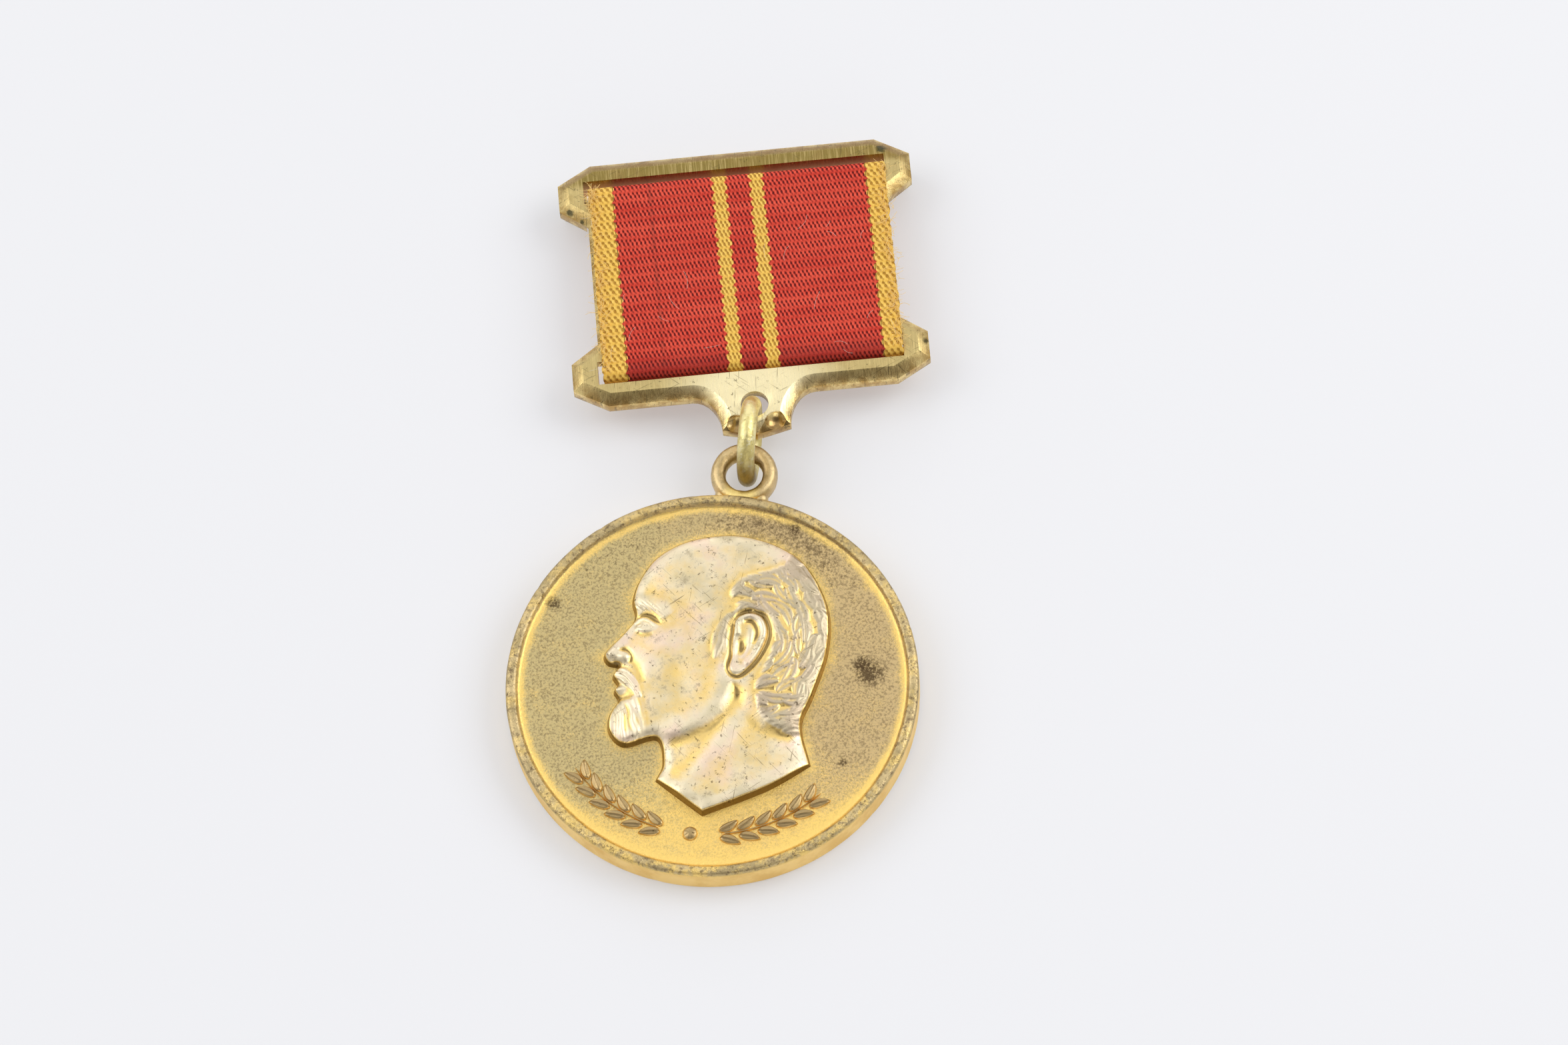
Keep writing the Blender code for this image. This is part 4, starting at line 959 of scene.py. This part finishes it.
def make_disc(finish):
    """The disc: a sanded field, rounded worn rims on both sides and a plain reverse."""
    field = [(0.4 * k, FIELD_Z) for k in range(37)]
    side = [(DISC_R, 2.16 - 0.21 * k) for k in range(1, 11)]
    reverse = [(14.4 - 0.9 * k, 0.0) for k in range(17)]
    bm = turned(field + RIM_FRONT + side + RIM_BACK + reverse, 300, False)
    spots = places(bm)
    radius = np.hypot(spots[:, 0], spots[:, 1])
    for vert, r in zip(bm.verts, radius):
        if r > RIM_R:
            wave = noise.noise(vert.co * 0.55) + 0.6 * noise.noise(vert.co * 1.7)
            dent = max(0.0, noise.noise(vert.co * 1.3 + Vector((9.0, 4.0, 2.0))) - 0.36)
            worn = 0.009 * wave - 0.12 * dent
            vert.co.x *= 1 + worn / r
            vert.co.y *= 1 + worn / r
            if vert.co.z > RIM_FOOT_Z:
                vert.co.z += 0.9 * worn
    head_x, head_y = (spots[:, 0] - HEAD_X) / HEAD_H, (spots[:, 1] - CHIN_Y) / HEAD_H
    outside = -signed_distance(head_x, head_y, PROFILE, OUTLINE_STEPS, NECK_CUT) * HEAD_H
    front_side = spots[:, 2] > 2.0
    # Painted highlight: a bright fringe of gilt along the head's outline and just inside the rim.
    painted_fringe_highlight = np.exp(-np.clip(outside, 0, None) / 0.5) * front_side
    painted_fringe_highlight = np.maximum(painted_fringe_highlight, rise(radius - 14.2, 0.7) * (radius < 15.1) * front_side)
    disc = piece("struck_disc", bm, MEDAL, finish, "medal", ["medal_disc"])
    paint(disc, "painted_fringe_highlight", painted_fringe_highlight)
    paint(disc, "rim", rise(radius - 15.02, 0.16) * rise(spots[:, 2] - RIM_FOOT_Z, 0.2))
    paint(disc, "wall", (radius > 15.9) * rise(2.2 - spots[:, 2], 0.2))


SPRIG_SUNK = 0.05
STEM_H = 0.20


def raised(height, share):
    """A share of a height over the field, from a foot that is sunk in it."""
    return FIELD_Z - SPRIG_SUNK + (height + SPRIG_SUNK) * share


def add_leaf(bm, matrix):
    """One pointed leaf with a midrib, its edge sunk in the field."""
    for vert in grid_verts(bm, 14, 8):
        u, v = vert.co.x, vert.co.y
        width = (1 - u * u) ** 0.8 * (1 - 0.25 * u)
        dome = max(0.0, 1 - v * v) ** 0.5 * min(1.0, 4 * (1 - abs(u)))
        rib = 0.16 * exp(-(v / 0.16) ** 2) - 0.10 * exp(-((abs(v) - 0.3) / 0.14) ** 2)
        z = raised(LEAF_H, 0.86 * dome ** 0.6 + rib if dome > 0 else 0.0)
        vert.co = matrix @ Vector((u * LEAF_L / 2, v * width * LEAF_W / 2 + 0.10 * u * u, z))


def add_stem(bm, side):
    """The curved stem of one sprig, thinner towards its tip."""
    for vert in grid_verts(bm, 60, 6):
        t, v = (vert.co.x + 1) / 2, vert.co.y
        angle = -pi / 2 + side * (SPRIG_FIRST - 0.06 + t * SPRIG_LEAVES * SPRIG_STEP)
        radius = SPRIG_R + v * 0.10 * (1 - 0.5 * t)
        z = raised(STEM_H, max(0.0, 1 - v * v) ** 0.5 * min(1.0, 20 * t, 20 * (1 - t)))
        vert.co = (radius * cos(angle), radius * sin(angle), z)


def add_knot(bm):
    """The round knot between the sprigs, grooved into five."""
    for vert in grid_verts(bm, 20, 20):
        u, v = vert.co.x, vert.co.y
        x, y = u * sqrt(1 - v * v / 2), v * sqrt(1 - u * u / 2)
        reach = min(1.0, hypot(x, y))
        petal = 1 - 0.16 * exp(-(sin(2.5 * atan2(y, x)) / 0.30) ** 2) * min(1.0, 3 * reach)
        z = raised(LEAF_H, petal * max(0.0, 1 - reach**2.4) ** 0.5)
        vert.co = (x * KNOT_R, -SPRIG_R + y * KNOT_R, z)


def make_sprigs(finish):
    """Two sprigs of leaves along the low edge of the field, and a knot between them."""
    bm = bmesh.new()
    for side in (-1, 1):
        for index in range(SPRIG_LEAVES):
            for splay in (-1, 1):
                angle = -pi / 2 + side * (SPRIG_FIRST + index * SPRIG_STEP)
                radius = SPRIG_R + splay * LEAF_W * 0.62
                place = Matrix.Translation((radius * cos(angle), radius * sin(angle), 0.0))
                lean = angle + side * pi / 2 - side * splay * LEAF_SPLAY
                mirror = Matrix.Diagonal((1.0, -1.0 if side * splay > 0 else 1.0, 1.0, 1.0))
                add_leaf(bm, place @ Matrix.Rotation(lean, 4, "Z") @ mirror)
        add_stem(bm, side)
    add_knot(bm)
    bmesh.ops.recalc_face_normals(bm, faces=bm.faces)
    for face in bm.faces:
        if face.normal.z < 0:
            face.normal_flip()
    heights = places(bm)[:, 2] - FIELD_Z
    sprigs = piece("struck_sprigs", bm, MEDAL, finish, "medal", smooth_angle=60.0)
    paint(sprigs, "wear", np.clip(heights / LEAF_H * 0.85, 0.0, 1.0))


# The eyelet's foot and its solder: middles and half sizes
LUMPS = (
    ((0.0, 16.25, EYELET_Z), (1.78, 0.52, 0.78)), ((-1.45, 16.30, EYELET_Z - 0.1), (0.62, 0.62, 0.70)),
    ((1.50, 16.28, EYELET_Z - 0.05), (0.66, 0.58, 0.72)), ((0.0, 16.05, EYELET_Z + 0.1), (1.3, 0.5, 0.75)),
)


def make_eyelet(finish):
    """The round eyelet, its foot on the rim and the lumps of solder."""
    bm = turned(round_section(EYELET_MIDDLE_R, EYELET_WALL, EYELET_HALF_T, 0.75, 0.8), 72, True)
    bmesh.ops.translate(bm, verts=bm.verts, vec=(0.0, EYELET_Y, EYELET_Z))
    for middle, radii in LUMPS:
        for vert in bmesh.ops.create_icosphere(bm, subdivisions=4, radius=1.0)["verts"]:
            vert.co = [m + squarer(c, 0.8) * r for m, c, r in zip(middle, vert.co, radii)]
    for vert in bm.verts:
        vert.co += vert.normal * 0.025 * noise.noise(vert.co * 2.1)
    piece("eyelet_soldered", bm, MEDAL, finish, "medal", ["eyelet"], 60.0)


def make_plate(finish):
    """The pressed plate with rounded edges, its flat face and the slots' outer walls marked."""
    bm = bevelled_copy("mount_plate", 0.09)
    spots = places(bm) - np.array(PLATE)
    wall = (np.abs(np.abs(spots[:, 1]) - SLOT_OUTER_Y) < 0.06) & (np.abs(spots[:, 0]) < 12.2)
    wall &= spots[:, 2] < PLATE_FRONT_Z - 0.05
    for vert, spot, sloped in zip(bm.verts, spots, wall):
        if sloped and spot[2] < PLATE_FRONT_Z - 0.5:
            vert.co.y -= copysign(SLOT_LIP, spot[1])
    plate = piece("mount_plate_pressed", bm, Matrix(), finish, "mount", ["mount_plate"])
    paint(plate, "face", rise(spots[:, 2] - PLATE_FRONT_Z + 0.12, 0.1))
    paint(plate, "slot_wall", wall)


SEAM_HEADING = 2.2


def make_ring(finish):
    """The jump ring of round wire, with the closed joint of its two ends."""
    bm = turned(round_section(RING_R, RING_WIRE_R, RING_WIRE_R), 120, True)
    for vert in bm.verts:
        heading = atan2(vert.co.y, vert.co.x)
        seam = exp(-((heading - SEAM_HEADING) / 0.02) ** 2)
        middle = Vector((cos(heading), sin(heading), 0.0)) * RING_R
        vert.co = middle + (vert.co - middle) * (1 - 0.12 * seam + 0.012 * noise.noise(vert.co * 1.4))
    turn = Matrix.Translation((0.0, -RING_R, 0.0)) @ Matrix.Rotation(pi / 2, 4, "Y")
    piece("jump_ring_wire", bm, RING @ turn, finish, "ring", ["jump_ring"], 60.0)


def ribbon_path():
    """The band's middle line from the side: back, low slot, front, top slot, lap."""
    line = [(LAP_FROM, RIBBON_BACK_Z)]
    corners = ((-1, RIBBON_BACK_Z, 1, 1.5), (-1, RIBBON_FRONT_Z, -1, 1.0),
               (1, RIBBON_FRONT_Z, -1, 0.5), (1, RIBBON_BACK_Z, 1, 0.0))
    for side, z, inward, start in corners:
        cy = side * (RIBBON_HALF - RIBBON_TURN_R)
        cz = z + inward * RIBBON_TURN_R
        for k in range(9):
            angle = pi * (start - k / 16)
            line.append((cy + RIBBON_TURN_R * cos(angle), cz + RIBBON_TURN_R * sin(angle)))
    lap_z = RIBBON_BACK_Z - 0.5
    return np.array(line + [(LAP_FROM + 1.6, RIBBON_BACK_Z), (LAP_FROM + 0.5, lap_z), (LAP_TO, lap_z)])


def make_ribbon(finish):
    """The woven band as one sheet: ribs across it, slow waves, and soft uneven edges."""
    line = ribbon_path()
    lengths = np.concatenate([[0.0], np.cumsum(np.hypot(*np.diff(line, axis=0).T))])
    total = lengths[-1]

    def at(length):
        return np.interp(length, lengths, line[:, 0]), np.interp(length, lengths, line[:, 1])

    stations = []
    along = 0.0
    while along < total:
        stations.append(along)
        along += 0.099 if at(along)[1] > RIBBON_BACK_Z + 0.02 else 0.26
    stations = np.array(stations + [total])
    bm, u, v = grid(224, len(stations) - 1)
    s = stations[np.clip(np.round((v + 1) / 2 * (len(stations) - 1)).astype(int), 0, len(stations) - 1)]
    y, z = at(s)
    ahead_y, ahead_z = at(np.minimum(s + 0.15, total))
    behind_y, behind_z = at(np.maximum(s - 0.15, 0.0))
    ty, tz = ahead_y - behind_y, ahead_z - behind_z
    size = np.hypot(ty, tz)
    across = u * RIBBON_W / 2
    bulge = np.sin((s / RIB - np.floor(s / RIB)) * pi)
    wave = np.array([noise.noise(Vector((a * 0.22, b * 0.22, 0.5))) for a, b in zip(across, s)])
    height = 0.03 * rise(0.8 - bulge, 0.7) - 0.04 + 0.05 * wave
    edge = np.clip((np.abs(u) - 0.985) / 0.015, 0.0, 1.0)
    ragged = np.array([noise.noise(Vector((copysign(3.0, a), b * 0.9, 7.5))) for a, b in zip(across, s)])
    x = across + edge * np.sign(u) * (0.12 * bulge - 0.06 + 0.10 * ragged)
    move_to(bm, x, y - tz / size * height, z + ty / size * height)
    bmesh.ops.recalc_face_normals(bm, faces=bm.faces)
    ribbon = piece("ribbon_band", bm, MOUNT @ Matrix.Translation(RIBBON_SHIFT), finish, "mount",
                   ["ribbon"], 180.0)
    paint(ribbon, "across", across)
    paint(ribbon, "along", s)
    solid = ribbon.modifiers.new("thickness", "SOLIDIFY")
    solid.thickness = RIBBON_T * MM * 0.7
    solid.offset = 0.0
    return ribbon, total


# Loose fibres: name, finish, colour, count, half thickness, shortest and longest
FIBRES = (
    ("ribbon_fuzz", "fibre_yellow", (0.86, 0.58, 0.20), 460, 0.014, (0.4, 1.1)),
    ("ribbon_strays", "fibre_pale", (0.72, 0.66, 0.58), 26, 0.008, (0.6, 1.7)),
)
FIBRE_STEPS = 5


def make_fibres():
    """Loose hairs along the ribbon's borders and a few pale stray fibres on its face."""
    draws = np.random.default_rng(41)
    made = []
    for name, finish, colour, count, thickness, span in FIBRES:
        fuzz = name == "ribbon_fuzz"
        curve = bpy.data.curves.new(name, "CURVE")
        curve.dimensions = "3D"
        curve.bevel_depth = thickness * MM
        curve.bevel_resolution = 0
        for _ in range(count):
            side = draws.choice((-1, 1))
            py = draws.uniform(-8.2, 8.0)
            if fuzz and draws.uniform() < 0.09:
                side, py = -1, draws.uniform(7.2, 8.3)
            edge = fuzz or draws.uniform() < 0.4
            px = side * (RIBBON_W / 2 - draws.uniform(-0.05, 0.5)) if edge else draws.uniform(-11, 11)
            heading = draws.uniform(0, 2 * pi)
            length = draws.uniform(*span)
            bend = draws.uniform(-1.6, 1.6)
            spline = curve.splines.new("POLY")
            spline.points.add(FIBRE_STEPS)
            for k, point in enumerate(spline.points):
                t = k / FIBRE_STEPS
                lift = RIBBON_FRONT_Z + 0.16 + 0.34 * t * (1.2 - t) * (1 if edge else 0.5)
                spot = PLATE + RIBBON_SHIFT + Vector((px, py, lift))
                point.co = (*(spot * MM), 1.0)
                px += cos(heading + bend * t) * length / FIBRE_STEPS
                py += sin(heading + bend * t) * length / FIBRE_STEPS
        curve.materials.append(fibre_finish(finish, colour))
        item = show(name, curve)
        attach(item, "mount")
        made.append(item)
    return made


# The needle from its point to its eye, and the eye's ring, as radius and height
NEEDLE = [
    (0.0, NEEDLE_L), (0.04, NEEDLE_L - 0.03), (0.17, NEEDLE_L - 0.75), (0.30, NEEDLE_L - 1.5),
    (0.375, NEEDLE_L - 2.0), (NEEDLE_R, NEEDLE_L - NEEDLE_POINT_L), (NEEDLE_R, 0.80), (0.38, 0.62),
    (0.0, 0.60),
]
NEEDLE_EYE = [
    (0.40, -0.36), (0.43, -0.39), (0.78, -0.39), (0.85, -0.32),
    (0.85, 0.32), (0.78, 0.39), (0.43, 0.39), (0.40, 0.36),
]


def make_pin(brass, steel):
    """The bracket, the clip, the rivet and the needle behind the top bar."""
    for node in ("hinge_bracket", "catch_clip"):
        piece(node + "_folded", bevelled_copy(node, 0.05), Matrix(), brass, "mount", [node])
    hinge = Matrix.Translation(HINGE)
    lengthwise = Matrix.Rotation(pi / 2, 4, "X")
    tall = RIVET_GRIP + RIVET_HEAD_T
    cap = [(0.0, tall), (0.2, tall - 0.01), (0.4, tall - 0.05), (0.55, tall - 0.13),
           (RIVET_HEAD_R, RIVET_GRIP + 0.06), (RIVET_HEAD_R, RIVET_GRIP + 0.005), (RIVET_R, RIVET_GRIP)]
    bm = turned(cap + [(r, -z) for r, z in cap[::-1]], 40, False)
    piece("hinge_rivet_domed", bm, hinge @ lengthwise, brass, "mount", ["hinge_rivet"])
    bm = turned(NEEDLE, 28, False)
    bm.transform(Matrix.Rotation(pi / 2, 4, "Y"))
    eye = turned(NEEDLE_EYE, 40, True)
    eye.transform(lengthwise)
    held = bpy.data.meshes.new("needle_eye")
    eye.to_mesh(held)
    eye.free()
    bm.from_mesh(held)
    bpy.data.meshes.remove(held)
    piece("pin_needle_drawn", bm, hinge, steel, "pin", ["pin_needle"])


# The floor's colour and its faint glow, which lifts the shadows
FLOOR_COLOUR = (0.541, 0.545, 0.560)
FLOOR_GLOW = (0.317, 0.317, 0.326)


def make_floor():
    """A pale floor just under the medal."""
    bm = bmesh.new()
    bmesh.ops.create_grid(bm, x_segments=2, y_segments=2, size=2.0)
    bmesh.ops.translate(bm, verts=bm.verts, vec=(0.0, 0.0, (TABLE_Z - 0.02) * MM))
    mesh = bpy.data.meshes.new("floor")
    bm.to_mesh(mesh)
    bm.free()
    mesh.materials.append(Finish("floor_pale").set(
        Base_Color=FLOOR_COLOUR, Roughness=0.9, Specular_IOR_Level=0.0, Emission_Color=FLOOR_GLOW,
        Emission_Strength=1.0))
    floor = show("floor", mesh)


# The sky from below to overhead, its bright back, its dark side and what the camera sees of it
SKY = ((0.0, (0.50, 0.49, 0.47)), (0.30, (0.62, 0.615, 0.61)), (0.75, (0.78, 0.785, 0.80)),
       (1.0, (0.86, 0.87, 0.89)))
SKY_BACK = (0.92, 0.925, 0.94)
SKY_DARK = (0.09, 0.07, 0.05)
SKY_SEEN = (0.87, 0.88, 0.90)
DARK_SIDE = (0.0, -0.67, 0.745)

# Lamps: name, place and size in metres, power in watts
LAMPS = (
    ("key", (0.46, 0.10, 0.42), 0.40, 1.35), ("fill", (-0.46, 0.16, 0.46), 0.46, 1.15),
    ("glint", (0.0, 0.62, 0.30), 0.22, 0.20), ("front", (0.05, -0.62, 0.22), 0.40, 0.55),
)
LIT_SPOT = Vector((0.005, 0.015, 0.0))


def make_light():
    """A soft overhead studio: a pale sky with one dark side, and four large lamps."""
    world = bpy.data.worlds.new("studio")
    bpy.context.scene.world = world
    world.use_nodes = True
    g = Graph(world.node_tree)
    heading = g.node("ShaderNodeTexCoord", output="Generated")
    height = g.node("ShaderNodeSeparateXYZ", inputs={0: heading}, output=2)
    behind = g.node("ShaderNodeSeparateXYZ", inputs={0: heading}, output=1)
    sky = g.node("ShaderNodeValToRGB", inputs={0: height})
    ramp = sky.link.node.color_ramp
    while len(ramp.elements) < len(SKY):
        ramp.elements.new(0.5)
    for element, (position, colour) in zip(ramp.elements, SKY):
        element.position = position
        element.color = (*colour, 1.0)
    sides = {0: heading, 1: DARK_SIDE}
    towards = g.node("ShaderNodeVectorMath", {"operation": "DOT_PRODUCT"}, sides, "Value")
    sky = g.layers(
        sky,
        (SKY_BACK, behind, 0.55, 0.95, 0.8),
        (SKY_DARK, towards, 0.74, 0.95, 0.9),
        (SKY_SEEN, g.node("ShaderNodeLightPath", output="Is Camera Ray")))
    g.feed(g.tree.nodes["Background"].inputs[0], sky)
    for name, spot, size, power in LAMPS:
        lamp = bpy.data.lights.new(name, "AREA")
        lamp.energy = power
        lamp.size = size
        item = show(name, lamp)
        item.location = spot
        item.rotation_euler = (LIT_SPOT - Vector(spot)).to_track_quat("-Z", "Y").to_euler()


# The camera of the photograph, about the point it looks at
ELEVATION = radians(63.791)
HEADING = radians(-0.649)
ROLL = radians(-6.059)
LOOKED_AT = Vector((6.658, 14.543, TABLE_Z))
DISTANCE = 510.15
LENS = 149.0
SENSOR_W = 36.0


def make_camera():
    """A long lens at a distance from the point looked at."""
    turn = Matrix.Rotation(-HEADING, 4, "Z") @ Matrix.Rotation(pi / 2 - ELEVATION, 4, "X")
    turn = turn @ Matrix.Rotation(ROLL, 4, "Z")
    place = Matrix.Translation(LOOKED_AT * MM) @ turn @ Matrix.Translation((0.0, 0.0, DISTANCE * MM))
    camera = bpy.data.cameras.new("camera")
    camera.sensor_fit = "HORIZONTAL"
    camera.sensor_width = SENSOR_W
    camera.lens = LENS
    camera.clip_start = 0.01
    camera.clip_end = 10.0
    item = show("camera", camera)
    item.matrix_world = place
    bpy.context.scene.camera = item


make_camera()
make_light()
make_floor()
make_disc(struck_field_finish())
make_head()
make_sprigs(struck_sprig_finish())
make_eyelet(eyelet_finish())
make_ring(ring_finish())
make_plate(plate_finish())
ribbon, ribbon_length = make_ribbon(ribbon_finish())
fibres = make_fibres()
make_pin(pin_brass_finish(), pin_steel_finish())

bpy.context.scene.view_settings.view_transform = "Standard"
